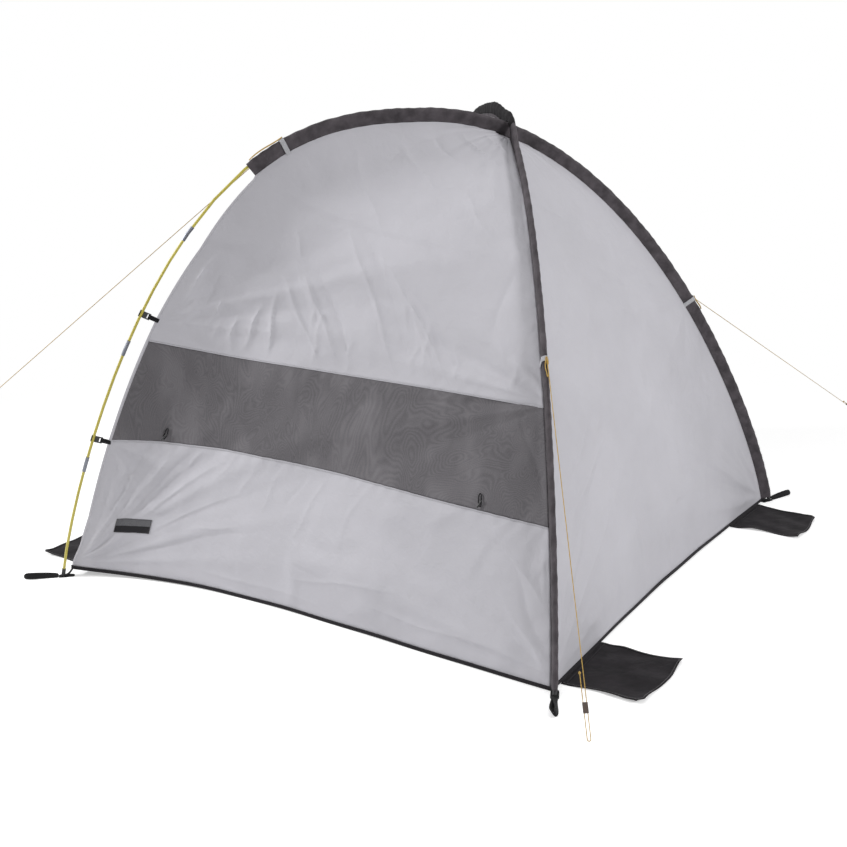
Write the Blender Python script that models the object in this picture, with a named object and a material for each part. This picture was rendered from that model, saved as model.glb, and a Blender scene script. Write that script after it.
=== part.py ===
"""A beach tent: two crossed poles in sleeves, taut walls with mesh window bands, an open front.

Metres, +Z up. The origin is the middle of the footprint, on the ground. The open side faces -Y,
and left is +X, as seen by someone who sits inside and looks out.
"""

import math

import bmesh
import bpy
import numpy as np

# Gap between two pieces that touch, and the overrun of a cut
CLEARANCE = 0.0003
OVERRUN = 0.005

# Poles: where they stand and how they arch. A place on a pole is its length from the front foot
FRONT_FOOT_X = 0.868
BACK_FOOT_X = 0.839
FOOT_Y = 0.7765
ARCH_HEIGHT = 1.300
ARCH_LEAN = 0.157
ARCH_TWIST = 0.0395
ARCH_CENTRE_Y = 0.100
ARCH_CENTRE_Z = 0.350
PEAK_SHARE = 0.0845
FRONT_FALL_SHARE = 2.757
BACK_FALL_SHARE = 1.962
ROUND_SHARE = 1.185
POLE_RADIUS = 0.0040
POLE_BORE = 0.0026
SECTION_LENGTH = 0.360
FREE_SECTIONS = 3
FERRULE_LENGTH = 0.045
FERRULE_WALL = 0.0009
SHOCK_CORD_RADIUS = 0.0018

# Pole tips, each with a pin in an eyelet and a blind socket for the pole
PIN_RADIUS = 0.0020
PIN_START = 0.0015
TIP_SHOULDER = 0.0055
TIP_FLOOR = 0.0090
TIP_TOP = 0.0260
TIP_WALL = 0.0012

# Pole sleeves: a round tunnel, a flat web and the seam where the panels meet
SLEEVE_PAST_JOINT = 0.230
SLEEVE_LIP = 0.020
SLEEVE_FOOT = 0.020
TUNNEL_RADIUS = 0.0075
TUNNEL_BORE = 0.0065
WEB_THICKNESS = 0.0018
SEAM_DEPTH = 0.027
SEAM_RADIUS = 0.0020
CROSSING_REACH = 0.150
CROSSING_GAP = 0.0012
CROSSING_CUT = 0.020
CROSSING_SEAM = 0.045

# Walls, back wall and roof
CLOTH = 0.0010
SEAM_GAP = 0.0004
BAND_FRONT_BOTTOM = 0.445
BAND_FRONT_TOP = 0.759
BAND_BACK_BOTTOM = 0.395
BAND_BACK_TOP = 0.696
SIDE_BOW = 0.102
SIDE_BOW_LEAN_SHARE = 1.2
BACK_BOW = 0.022
FRONT_BOW = 0.050
ROOF_BOW = 0.090

# Door edge: its distance from the pole at the foot, along the leg, where it hangs and at the sleeve
DOOR_FOOT_GAP = 0.027
DOOR_LEG_GAP = 0.0425
DOOR_SLACK_GAP = 0.050
DOOR_TOP_GAP = 0.035
DOOR_LEG_START = 0.200
HEM_WIDTH = 0.012
HEM_THICKNESS = 0.0020

# Hook clips that hold the door edge to the free pole, and their webbing tabs
LOWER_CLIP_PAST_JOINT = 0.080
UPPER_CLIP_PAST_JOINT = 0.106
CLIP_DEPTH = 0.018
CLIP_WALL = 0.0022
CLIP_PLATE = 0.0036
CLIP_BAR_DISTANCE = 0.024
CLIP_BAR = 0.0030
CLIP_LIP = 0.0020
CLIP_SLOT = 0.0060
CLIP_SLOT_WIDTH = 0.0125
TAB_FOLD_RADIUS = 0.0029
TAB_THICKNESS = 0.0011
TAB_WIDTH = 0.0116
TAB_TAIL = 0.0040

# Groundsheet with a piped rim and a tab with an eyelet at each corner
RIM_RADIUS = 0.0040
SHEET_THICKNESS = 0.0012
CORNER_TAB_WIDTH = 0.030
CORNER_TAB_THICKNESS = 0.0020
EYELET_RADIUS = 0.0032

# Peg loops of webbing
LOOP_LENGTH = 0.105
LOOP_WIDTH = 0.022
LOOP_THICKNESS = 0.0020
LOOP_SLOT_LENGTH = 0.040
LOOP_SLOT_WIDTH = 0.008
LOOP_SLOT_MARGIN = 0.012
FRONT_LOOP_TURN = 45.0
BACK_LOOP_TURN = 24.0

# Sand flaps beside the corners
FLAP_PAST_FOOT = 0.1985
FLAP_INNER_X = 0.510
FLAP_OUTER_X = 0.768
FLAP_THICKNESS = 0.0012
FLAP_CORNER = 0.030
FLAP_SLOPE = 0.025

# Guy lines, their tapes over the sleeves and their runners
FRONT_TAPE_PAST_LIP = 0.125
BACK_TAPE = 0.813
TAPE_WIDTH = 0.012
TAPE_THICKNESS = 0.0010
LINE_RADIUS = 0.0010
LINE_TURN = 0.0040
LINE_TAIL = 0.140
RUNNER_LENGTH = 0.024
RUNNER_WIDTH = 0.0126
RUNNER_THICKNESS = 0.0045
RUNNER_HEIGHT = 0.060
RUNNER_BORE_GAP = 0.00035
GUY_ENDS = {
    "front_left": (0.880, -1.742),
    "front_right": (-0.880, -1.742),
    "back_left": (0.990, 0.935),
    "back_right": (-2.265, 0.710),
}

# Blank label on the left wall
LABEL_LENGTH = 0.105
LABEL_HEIGHT = 0.043
LABEL_THICKNESS = 0.0008
LABEL_GAP = 0.0006
LABEL_FRONT_SHARE = 0.097
LABEL_UP_SHARE = 0.370

# Counts
ROUND_SIDES = 8
CORD_SIDES = 6
ARC_STEPS = 6
ARCH_SAMPLES = 4000
LEG_STEPS = 4
SLEEVE_STEPS = 8
SHOULDER_STEPS = 4
BAND_STEPS = 3
FOOT_STEPS = 4
PANEL_COLUMNS = 6
COLUMN_EASE_SHARE = 1.5
LINE_STEPS = 30
LABEL_STEPS = 6

# Places along a pole that follow its free sections
SLEEVE_START = SECTION_LENGTH * FREE_SECTIONS + SLEEVE_PAST_JOINT
LOWER_CLIP = SECTION_LENGTH + LOWER_CLIP_PAST_JOINT
UPPER_CLIP = SECTION_LENGTH * 2 + UPPER_CLIP_PAST_JOINT
FRONT_TAPE = SLEEVE_START + FRONT_TAPE_PAST_LIP

UP = np.array((0.0, 0.0, 1.0))
MIRROR = np.array((-1.0, 1.0, 1.0))


def unit(vector):
    """The vector at a length of one."""
    return vector / np.linalg.norm(vector)


def remove_scene_objects():
    """Empties the scene."""
    for old in list(bpy.data.objects):
        bpy.data.objects.remove(old, do_unlink=True)


def material(name, colour, roughness, metallic=0.0):
    """A plain Principled material, made once and then shared."""
    if name in bpy.data.materials:
        return bpy.data.materials[name]
    made = bpy.data.materials.new(name)
    made.use_nodes = True
    shader = made.node_tree.nodes["Principled BSDF"]
    shader.inputs["Base Color"].default_value = (*colour, 1.0)
    shader.inputs["Roughness"].default_value = roughness
    shader.inputs["Metallic"].default_value = metallic
    return made


def wall_cloth():
    return material("wall_cloth", (0.49, 0.49, 0.52), 0.75)


def window_mesh():
    return material("window_mesh", (0.13, 0.12, 0.13), 0.85)


def sleeve_cloth():
    return material("sleeve_cloth", (0.07, 0.06, 0.065), 0.8)


def dark_cloth():
    return material("dark_cloth", (0.028, 0.026, 0.03), 0.85)


def black_webbing():
    return material("black_webbing", (0.012, 0.012, 0.013), 0.8)


def grey_tape():
    return material("grey_tape", (0.42, 0.42, 0.44), 0.75)


def black_plastic():
    return material("black_plastic", (0.015, 0.015, 0.015), 0.45)


def brown_plastic():
    return material("brown_plastic", (0.05, 0.03, 0.02), 0.5)


def olive_fibreglass():
    return material("olive_fibreglass", (0.42, 0.37, 0.06), 0.35)


def bare_metal():
    return material("bare_metal", (0.5, 0.5, 0.5), 0.35, 1.0)


def yellow_cord():
    return material("yellow_cord", (0.6, 0.4, 0.08), 0.8)


def white_elastic():
    return material("white_elastic", (0.6, 0.6, 0.6), 0.8)


def add_object(name, points, faces, look, moved_to=None):
    """One closed mesh with its faces turned outward, its origin where it is moved to."""
    origin = np.zeros(3) if moved_to is None else np.asarray(moved_to)
    mesh = bpy.data.meshes.new(name)
    mesh.from_pydata([tuple(point - origin) for point in points], [], faces)
    shape = bmesh.new()
    shape.from_mesh(mesh)
    bmesh.ops.recalc_face_normals(shape, faces=shape.faces)
    shape.to_mesh(mesh)
    shape.free()
    mesh.materials.append(look)
    mesh.shade_smooth()
    mesh.set_sharp_from_angle(angle=math.radians(35))
    made = bpy.data.objects.new(name, mesh)
    made.location = origin
    bpy.context.collection.objects.link(made)
    return made


def with_boolean(target, tool, operation):
    """Cuts a tool from the target or joins it on, and hides the tool."""
    tool.hide_render = True
    tool.display_type = "WIRE"
    step = target.modifiers.new(tool.name, "BOOLEAN")
    step.operation = operation
    step.solver = "EXACT"
    step.object = tool
    return target


def ring_faces(rings, count, joined_ends):
    """Quads between rings of points, with the ends joined to each other or capped."""
    faces = []
    spans = rings if joined_ends else rings - 1
    for ring in range(spans):
        here = ring * count
        there = (ring + 1) % rings * count
        for side in range(count):
            after = (side + 1) % count
            faces.append((here + side, here + after, there + after, there + side))
    if not joined_ends:
        faces.append(tuple(range(count)))
        faces.append(tuple(range((rings - 1) * count, rings * count)))
    return faces


def extruded(name, outline, place, along, width, look, moved_to=None):
    """A flat outline of (x, y) pairs, set by place(x, y), extruded by a width about its middle."""
    half = along * width / 2
    low = [place(x, y) - half for x, y in outline]
    high = [place(x, y) + half for x, y in outline]
    return add_object(name, low + high, ring_faces(2, len(outline), False), look, moved_to)


def arc(centre, radius, start, end, steps):
    """Points of a round stretch, angles in degrees."""
    turns = np.radians(np.linspace(start, end, steps + 1))
    return [(centre[0] + radius * math.cos(turn), centre[1] + radius * math.sin(turn)) for turn in turns]


def ribbon(path, thickness):
    """The outline of a strip of even thickness that follows a flat path."""
    points = np.array(path)
    runs = np.diff(points, axis=0)
    runs /= np.linalg.norm(runs, axis=1)[:, None]
    before = np.vstack((runs[:1], runs))
    after = np.vstack((runs, runs[-1:]))
    sides = np.stack((-(before + after)[:, 1], (before + after)[:, 0]), axis=1)
    sides /= np.linalg.norm(sides, axis=1)[:, None]
    shift = sides * thickness / 2
    return [tuple(point) for point in np.vstack((points + shift, (points - shift)[::-1]))]


def arch_point(share):
    """The left pole's centre line: share 1 is its front foot and share -1 its back foot."""
    front = np.array((FRONT_FOOT_X, -FOOT_Y))
    back = np.array((-BACK_FOOT_X, FOOT_Y))
    chord = unit(front - back)
    side = np.array((-chord[1], chord[0]))
    if share < PEAK_SHARE:
        fall = ((PEAK_SHARE - share) / (1 + PEAK_SHARE)) ** BACK_FALL_SHARE
    else:
        fall = ((share - PEAK_SHARE) / (1 - PEAK_SHARE)) ** FRONT_FALL_SHARE
    rise = max(1 - fall, 0.0) ** (1 / ROUND_SHARE)
    flat = (front + back) / 2 + share * (front - back) / 2
    flat = flat + (ARCH_LEAN + ARCH_TWIST * share) * rise * side
    return np.array((flat[0], flat[1], ARCH_HEIGHT * rise))


def steps_between(start, end, count):
    """Even steps from start to end, without the end."""
    return list(np.linspace(start, end, count + 1)[:-1])


class Arch:
    """One pole's line with its frames: along the pole, outward from the tent, and to the side."""

    def __init__(self, mirrored):
        shares = np.linspace(1, -1, ARCH_SAMPLES)
        fine = np.array([arch_point(share) for share in shares])
        lengths = np.concatenate(([0.0], np.cumsum(np.linalg.norm(np.diff(fine, axis=0), axis=1))))
        self.length = lengths[-1]
        self.crossing = float(np.interp(0.0, -fine[:, 0], lengths))
        self.stations = np.array(self.marks())
        points = np.stack([np.interp(self.stations, lengths, fine[:, axis]) for axis in range(3)], axis=1)
        runs = np.diff(points, axis=0)
        runs /= np.linalg.norm(runs, axis=1)[:, None]
        along = np.vstack((runs[:1], runs[1:] + runs[:-1], runs[-1:]))
        along /= np.linalg.norm(along, axis=1)[:, None]
        centre = np.array((0.0, ARCH_CENTRE_Y, ARCH_CENTRE_Z))
        reach = points - centre
        outward = reach - np.sum(reach * along, axis=1)[:, None] * along
        outward /= np.linalg.norm(outward, axis=1)[:, None]
        side = np.cross(along, outward)
        flip = MIRROR if mirrored else np.ones(3)
        self.points = points * flip
        self.along = along * flip
        self.outward = outward * flip
        self.side = side * flip
        self.lifted = mirrored

    def marks(self):
        """The stations where the line bends: panel rows meet the seams exactly there."""
        seam_front = self.crossing - CROSSING_SEAM
        seam_back = self.crossing + CROSSING_SEAM
        rows = panel_rows(self.length, self.crossing)
        marks = []
        for section in range(FREE_SECTIONS):
            marks += steps_between(section * SECTION_LENGTH, (section + 1) * SECTION_LENGTH, LEG_STEPS)
        marks += steps_between(FREE_SECTIONS * SECTION_LENGTH, SLEEVE_START, 2)
        marks += [front for front, back in rows if SLEEVE_START <= front < seam_front]
        marks += [seam_front, self.crossing - CROSSING_CUT, self.crossing, self.crossing + CROSSING_CUT]
        marks += [seam_back]
        return marks + sorted(self.length - back for front, back in rows if self.length - back > seam_back)

    def at(self, station):
        """Point, along, outward and side at a station, on the straight run between two bends."""
        values = []
        for table in (self.points, self.along, self.outward, self.side):
            values.append(np.array([np.interp(station, self.stations, table[:, axis]) for axis in range(3)]))
        return values[0], unit(values[1]), unit(values[2]), unit(values[3])

    def lift(self, station):
        """How far this pole rises to pass over the other one."""
        away = abs(station - self.crossing) / CROSSING_REACH
        if not self.lifted or away >= 1:
            return 0.0
        return (TUNNEL_RADIUS * 2 + CROSSING_GAP) * math.cos(math.pi / 2 * away) ** 2

    def centre(self, station):
        """The pole's true centre, with its rise over the other pole."""
        point, _, outward, _ = self.at(station)
        return point + outward * self.lift(station)

    def seam(self, station):
        """The line where the panels are sewn to the sleeve."""
        point, _, outward, _ = self.at(station)
        return point - outward * SEAM_DEPTH

    def between(self, start, end):
        """A start, every bend after it, and an end."""
        inner = [s for s in self.stations if min(start, end) < s < max(start, end)]
        if end < start:
            inner.reverse()
        return [start, *inner, end]


def panel_rows(length, crossing):
    """Rows of a side wall as pairs: length from the front foot, and length from the back foot."""
    front_top = crossing - CROSSING_SEAM
    back_top = length - crossing - CROSSING_SEAM
    over_band = (back_top - BAND_BACK_TOP) / (front_top - BAND_FRONT_TOP)
    back_start = BAND_BACK_TOP + (SLEEVE_START - BAND_FRONT_TOP) * over_band
    lip = SLEEVE_START + SLEEVE_LIP
    back_lip = back_start + SLEEVE_LIP * over_band
    front = steps_between(0.0, BAND_FRONT_BOTTOM, FOOT_STEPS)
    front += steps_between(BAND_FRONT_BOTTOM, BAND_FRONT_TOP, BAND_STEPS)
    front += steps_between(BAND_FRONT_TOP, SLEEVE_START, SHOULDER_STEPS)
    front += [SLEEVE_START] + steps_between(lip, front_top, SLEEVE_STEPS) + [front_top]
    back = steps_between(0.0, BAND_BACK_BOTTOM, FOOT_STEPS)
    back += steps_between(BAND_BACK_BOTTOM, BAND_BACK_TOP, BAND_STEPS)
    back += steps_between(BAND_BACK_TOP, back_start, SHOULDER_STEPS)
    back += [back_start] + steps_between(back_lip, back_top, SLEEVE_STEPS) + [back_top]
    return list(zip(front, back))


def swept_ring(arch, station, outline):
    """An outline of (outward, side) pairs set square to the pole."""
    _, _, outward, side = arch.at(station)
    centre = arch.centre(station)
    return [centre + outward * x + side * y for x, y in outline]


def circle(radius, sides):
    """A closed round outline."""
    return arc((0.0, 0.0), radius, 0, 360, sides)[:-1]


def turned(name, arch, profile, sides, look, joined_ends):
    """A round piece on the pole's line, from (station, radius) pairs."""
    points = []
    for station, radius in profile:
        points += swept_ring(arch, station, circle(radius, sides))
    return add_object(name, points, ring_faces(len(profile), sides, joined_ends), look)


def pole_tube(name, arch, start, end, outer, bore, look):
    """A hollow length of pole or ferrule."""
    stations = arch.between(start, end)
    profile = [(s, outer) for s in stations] + [(s, bore) for s in reversed(stations)]
    return turned(name, arch, profile, ROUND_SIDES, look, True)


def add_pole(arch, owner):
    """The sections, ferrules, tips and shock cord of one pole."""
    half = CLEARANCE / 2
    foot = TIP_FLOOR + CLEARANCE
    start = foot
    for number in range(1, FREE_SECTIONS + 1):
        joint = number * SECTION_LENGTH
        name = f"{owner}_pole_section_{number}"
        pole_tube(name, arch, start, joint - half, POLE_RADIUS, POLE_BORE, olive_fibreglass())
        ferrule_bore = POLE_RADIUS + CLEARANCE
        ferrule_ends = (joint - FERRULE_LENGTH / 2, joint + FERRULE_LENGTH / 2)
        name = f"{owner}_pole_ferrule_{number}"
        pole_tube(name, arch, *ferrule_ends, ferrule_bore + FERRULE_WALL, ferrule_bore, bare_metal())
        start = joint + half
    end = arch.length - foot
    name = f"{owner}_pole_sleeved_sections"
    pole_tube(name, arch, start, end, POLE_RADIUS, POLE_BORE, olive_fibreglass())
    cord = [(s, SHOCK_CORD_RADIUS) for s in arch.between(foot, end)]
    turned(f"{owner}_pole_shock_cord", arch, cord, CORD_SIDES, white_elastic(), False)
    for name, from_foot in (("front", lambda s: s), ("back", lambda s: arch.length - s)):
        socket = POLE_RADIUS + CLEARANCE
        profile = [(PIN_START, PIN_RADIUS), (TIP_SHOULDER, PIN_RADIUS), (TIP_SHOULDER, socket + TIP_WALL)]
        profile += [(TIP_TOP, socket + TIP_WALL), (TIP_TOP, socket), (TIP_FLOOR, socket)]
        profile = [(from_foot(s), radius) for s, radius in profile]
        turned(f"{owner}_pole_{name}_tip", arch, profile, ROUND_SIDES, black_plastic(), False)


def sleeve_outline(depth):
    """The sleeve's section: an open-bottomed tunnel outline, the web, and the seam's bead."""
    half_web = WEB_THICKNESS / 2
    edge = 180 - math.degrees(math.asin(half_web / TUNNEL_RADIUS))
    outline = arc((0.0, 0.0), TUNNEL_RADIUS, -edge, edge, ROUND_SIDES)
    bead = min(SEAM_RADIUS, (depth - TUNNEL_RADIUS) / 2)
    neck = depth - bead
    outline += [(-neck, half_web), (-depth, bead), (-depth - bead, 0.0)]
    return outline + [(-depth, -bead), (-neck, -half_web)]


def sleeve_depth(arch, station):
    """Distance from the tunnel's centre to the seam; the upper sleeve has no web at the crossing."""
    depth = SEAM_DEPTH + arch.lift(station)
    if not arch.lifted:
        return depth
    shallow = TUNNEL_RADIUS + CLEARANCE
    away = abs(station - arch.crossing)
    return float(np.interp(away, (CROSSING_CUT, CROSSING_SEAM), (shallow, depth)))


def add_sleeve(arch, owner):
    """The cloth sleeve: outer skin, bore and two flat ends."""
    stations = arch.between(SLEEVE_START, arch.length - SLEEVE_FOOT)
    skin = []
    bore = []
    for station in stations:
        skin += swept_ring(arch, station, sleeve_outline(sleeve_depth(arch, station)))
        bore += swept_ring(arch, station, circle(TUNNEL_BORE, ROUND_SIDES))
    skin_count = len(skin) // len(stations)
    faces = ring_faces(len(stations), skin_count, False)[:-2]
    bore_faces = ring_faces(len(stations), ROUND_SIDES, False)[:-2]
    faces += [tuple(len(skin) + corner for corner in face) for face in bore_faces]
    sleeve = add_object(f"{owner}_pole_sleeve", skin + bore, faces, sleeve_cloth())
    shape = bmesh.new()
    shape.from_mesh(sleeve.data)
    rims = [edge for edge in shape.edges if edge.is_boundary]
    first = shape.verts[:]
    for ring in (0, len(stations) - 1):
        members = set(first[ring * skin_count:(ring + 1) * skin_count])
        start = len(skin) + ring * ROUND_SIDES
        members |= set(first[start:start + ROUND_SIDES])
        edges = [edge for edge in rims if edge.verts[0] in members and edge.verts[1] in members]
        bmesh.ops.triangle_fill(shape, edges=edges, use_beauty=True, use_dissolve=False)
    bmesh.ops.recalc_face_normals(shape, faces=shape.faces)
    shape.to_mesh(sleeve.data)
    shape.free()
    sleeve.data.shade_smooth()
    sleeve.data.set_sharp_from_angle(angle=math.radians(35))
    return sleeve


def door_gap(station):
    """Distance from the pole's centre to the door edge."""
    slack = (UPPER_CLIP + SLEEVE_START) / 2
    places = (0.0, DOOR_LEG_START, UPPER_CLIP, slack, SLEEVE_START)
    gaps = (DOOR_FOOT_GAP, DOOR_LEG_GAP, DOOR_LEG_GAP, DOOR_SLACK_GAP, DOOR_TOP_GAP)
    return float(np.interp(station, places, gaps))


def front_line(arch, station):
    """The side wall's front edge: the door edge, then the sleeve's seam."""
    if station > SLEEVE_START:
        return arch.seam(station)
    point, _, outward, _ = arch.at(station)
    return point - outward * door_gap(station)


def row_ends(front_arch, back_arch, front, back):
    """Where a side wall's row starts and ends, before any gap is left."""
    base = RIM_RADIUS * 2 + SEAM_GAP
    start = front_line(front_arch, front)
    end = back_arch.seam(back_arch.length - max(back, SLEEVE_FOOT))
    if front == 0:
        start = np.array((start[0], start[1], base))
        end = np.array((end[0], end[1], base))
    return start, end


def bow_shape(share, lean):
    """Zero at both ends and one at the deepest point, which the lean moves toward share 0."""
    return math.sin(math.pi * share * (1 + lean) / (1 + lean * share))


def inward_of(start, end, centre):
    """Square to a row and toward the tent's middle."""
    chord = unit(end - start)
    inward = centre - (start + end) / 2
    return unit(inward - chord * np.dot(inward, chord))


def row_point(start, end, share, bow, lean):
    """A point of a row that bows toward the tent's middle."""
    level = start[2] == end[2]
    height = start[2] if level else ARCH_CENTRE_Z
    centre = np.array((0.0, ARCH_CENTRE_Y, height))
    bulge = inward_of(start, end, centre) * bow * bow_shape(share, lean)
    return start + (end - start) * share + bulge


def side_bow(arch, front):
    """How deep a side wall's row bows, from the ground to none at the top."""
    return SIDE_BOW * (1 - (front / (arch.crossing - CROSSING_SEAM)) ** 2)


def column_shares():
    """Places across a panel, closer together near its front edge."""
    return [(column / PANEL_COLUMNS) ** COLUMN_EASE_SHARE for column in range(PANEL_COLUMNS + 1)]


def gap_from(line, toward, along, gap):
    """A point set off a line by a gap, measured square to the line."""
    away = unit(toward - line)
    slant = np.linalg.norm(np.cross(away, along))
    return line + away * gap / slant


def side_wall_grid(front_arch, back_arch):
    """Rows of points of one side wall from the ground up."""
    grid = []
    for front, back in panel_rows(front_arch.length, front_arch.crossing):
        start, end = row_ends(front_arch, back_arch, front, back)
        bow = side_bow(front_arch, front)
        shares = column_shares()
        row = [row_point(start, end, share, bow, SIDE_BOW_LEAN_SHARE) for share in shares]
        lead = front_arch.at(front)[1]
        trail = back_arch.at(back_arch.length - back)[1]
        front_gap = HEM_WIDTH + CLEARANCE if front <= SLEEVE_START else SEAM_RADIUS + SEAM_GAP
        row[0] = gap_from(row[0], row[1], lead, front_gap)
        row[-1] = gap_from(row[-1], row[-2], trail, SEAM_RADIUS + SEAM_GAP)
        grid.append(row)
    return grid


def add_panel(name, grid, look):
    """A cloth panel from rows of points, thickened about its middle."""
    width = len(grid[0])
    points = [point for row in grid for point in row]
    faces = []
    for row in range(len(grid) - 1):
        for column in range(width - 1):
            corner = row * width + column
            faces.append((corner, corner + 1, corner + width + 1, corner + width))
    mesh = bpy.data.meshes.new(name)
    mesh.from_pydata([tuple(point) for point in points], [], faces)
    mesh.materials.append(look)
    mesh.shade_smooth()
    made = bpy.data.objects.new(name, mesh)
    bpy.context.collection.objects.link(made)
    thick = made.modifiers.new("cloth", "SOLIDIFY")
    thick.thickness = CLOTH
    thick.offset = 0.0
    thick.use_even_offset = True
    return made


def pulled_in(grid, at_start, at_end):
    """Rows with the first or last one drawn in by half the clearance, where two panels are sewn."""
    rows = [list(row) for row in grid]
    for wanted, edge, inner in ((at_start, 0, 1), (at_end, -1, -2)):
        if wanted:
            pairs = zip(grid[edge], grid[inner])
            rows[edge] = [point + unit(other - point) * CLEARANCE / 2 for point, other in pairs]
    return rows


def add_side_wall(front_arch, back_arch, owner):
    """Lower panel, window band and upper panel."""
    grid = side_wall_grid(front_arch, back_arch)
    low = FOOT_STEPS
    high = FOOT_STEPS + BAND_STEPS
    lower = add_panel(f"{owner}_wall_lower", pulled_in(grid[:low + 1], False, True), wall_cloth())
    add_panel(f"{owner}_window_mesh", pulled_in(grid[low:high + 1], True, True), window_mesh())
    add_panel(f"{owner}_wall_upper", pulled_in(grid[high:], True, False), wall_cloth())
    return grid, lower


def add_back_wall(left_arch, right_arch):
    """The back wall, between the back halves of the sleeves."""
    rows = panel_rows(left_arch.length, left_arch.crossing)
    shares = np.linspace(0, 1, PANEL_COLUMNS + 1)
    top = rows[-1][1]
    grid = []
    for front, back in rows:
        start = row_ends(left_arch, right_arch, front, back)[1]
        end = start * MIRROR
        bow = BACK_BOW * (1 - (back / top) ** 2)
        row = [row_point(start, end, share, bow, 0.0) for share in shares]
        lead = right_arch.at(right_arch.length - back)[1]
        row[0] = gap_from(row[0], row[1], lead, SEAM_RADIUS + SEAM_GAP)
        row[-1] = row[0] * MIRROR
        grid.append(row)
    add_panel("back_wall", grid, wall_cloth())


def add_roof(left_arch):
    """The roof panel over the open front, with a hollowed front edge."""
    rows = [front for front, back in panel_rows(left_arch.length, left_arch.crossing)]
    rows = [front for front in rows if front > SLEEVE_START]
    shares = np.linspace(0, 1, PANEL_COLUMNS + 1)
    grid = []
    for front in rows:
        start = left_arch.seam(front)
        end = start * MIRROR
        hollow = ROOF_BOW * (rows[-1] - front) / (rows[-1] - rows[0])
        row = []
        for share in shares:
            back = np.array((0.0, hollow * bow_shape(share, 0.0), 0.0))
            row.append(start + (end - start) * share + back)
        lead = left_arch.at(front)[1]
        row[0] = gap_from(row[0], row[1], lead, SEAM_RADIUS + SEAM_GAP)
        row[-1] = row[0] * MIRROR
        grid.append(row)
    add_panel("roof_panel", grid, wall_cloth())


def add_hem(front_arch, back_arch, owner):
    """The flat hem of a door edge, with a webbing tab for each clip."""
    rows = [pair for pair in panel_rows(front_arch.length, front_arch.crossing) if pair[0] <= SLEEVE_START]
    points = []
    for front, back in rows:
        start, end = row_ends(front_arch, back_arch, front, back)
        bow = side_bow(front_arch, front)
        inner = row_point(start, end, column_shares()[1], bow, SIDE_BOW_LEAN_SHARE)
        along = front_arch.at(front)[1]
        far = gap_from(start, inner, along, HEM_WIDTH)
        through = unit(np.cross(along, far - start)) * HEM_THICKNESS / 2
        points += [start - through, start + through, far + through, far - through]
    hem = add_object(f"{owner}_door_hem", points, ring_faces(len(rows), 4, False), black_webbing())
    for name, station in (("lower", LOWER_CLIP), ("upper", UPPER_CLIP)):
        tab = add_clip_tab(front_arch, f"{owner}_{name}_clip_tab", station)
        with_boolean(hem, tab, "UNION")
    return hem


def clip_frame(arch, station):
    """Pole centre, outward, the side that a clip swings to when it opens, and along the pole."""
    point, along, outward, side = arch.at(station)
    swing = side if side[2] > 0 else -side
    return point, outward, swing, along


def add_clip_tab(arch, name, station):
    """Webbing that leaves the hem, folds round the clip's bar and ends beside it."""
    point, outward, swing, along = clip_frame(arch, station)
    fold = TAB_FOLD_RADIUS + TAB_THICKNESS / 2
    path = [(-door_gap(station) - HEM_WIDTH / 4, 0.0)]
    path += arc((-CLIP_BAR_DISTANCE, 0.0), fold, -90, 90, ARC_STEPS)
    path.append((-CLIP_BAR_DISTANCE - TAB_TAIL, fold))
    outline = ribbon(path, TAB_THICKNESS)
    return extruded(
        name, outline, lambda x, y: point + outward * x + swing * y, along, TAB_WIDTH, black_webbing()
    )


def add_clip(arch, name, station):
    """A hook clip: half a ring round the pole, a plate, and a bar behind a slot."""
    point, outward, swing, along = clip_frame(arch, station)
    inner = (POLE_RADIUS + CLEARANCE) / math.cos(math.pi / ARC_STEPS / 2)
    outer = POLE_RADIUS + CLEARANCE + CLIP_WALL
    half = CLIP_PLATE / 2
    rear = -CLIP_BAR_DISTANCE - CLIP_BAR / 2
    meets = 180 - math.degrees(math.asin(half / outer))
    outline = [(rear, -half), (-inner, -half)]
    outline += arc((0.0, 0.0), inner, 180, 0, ARC_STEPS)
    outline += [(inner, -CLIP_LIP), (outer, -CLIP_LIP)]
    outline += arc((0.0, 0.0), outer, 0, meets, ARC_STEPS)
    outline.append((rear, half))

    def place(x, y):
        return point + outward * x + swing * y

    axis = place(-CLIP_BAR_DISTANCE, 0.0)
    clip = extruded(name, outline, place, along, CLIP_DEPTH, black_plastic(), axis)
    near = -CLIP_BAR_DISTANCE + CLIP_BAR / 2
    slot = [(near, -half - OVERRUN), (near + CLIP_SLOT, -half - OVERRUN)]
    slot += [(near + CLIP_SLOT, half + OVERRUN), (near, half + OVERRUN)]
    cutter = extruded(f"{name}_slot", slot, place, along, CLIP_SLOT_WIDTH, black_plastic())
    return with_boolean(clip, cutter, "DIFFERENCE")


def base_corner(arch, front):
    """A corner of the groundsheet's rim, under the door edge or under the back seam."""
    corner = front_line(arch, 0.0) if front else arch.seam(arch.length - SLEEVE_FOOT)
    return np.array((corner[0], corner[1], 0.0))


def base_loop(left_arch, right_arch):
    """The rim's centre line, anticlockwise from the front left corner."""
    front_left = base_corner(left_arch, True)
    back_left = base_corner(right_arch, False)
    across = list(np.linspace(0, 1, PANEL_COLUMNS + 1))
    left = [row_point(front_left, back_left, t, SIDE_BOW, SIDE_BOW_LEAN_SHARE) for t in column_shares()]
    back = [row_point(back_left, back_left * MIRROR, t, BACK_BOW, 0.0) for t in across]
    front = [row_point(front_left * MIRROR, front_left, t, FRONT_BOW, 0.0) for t in across]
    right = [point * MIRROR for point in reversed(left)]
    return left[:-1] + back[:-1] + right[:-1] + front[:-1]


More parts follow.
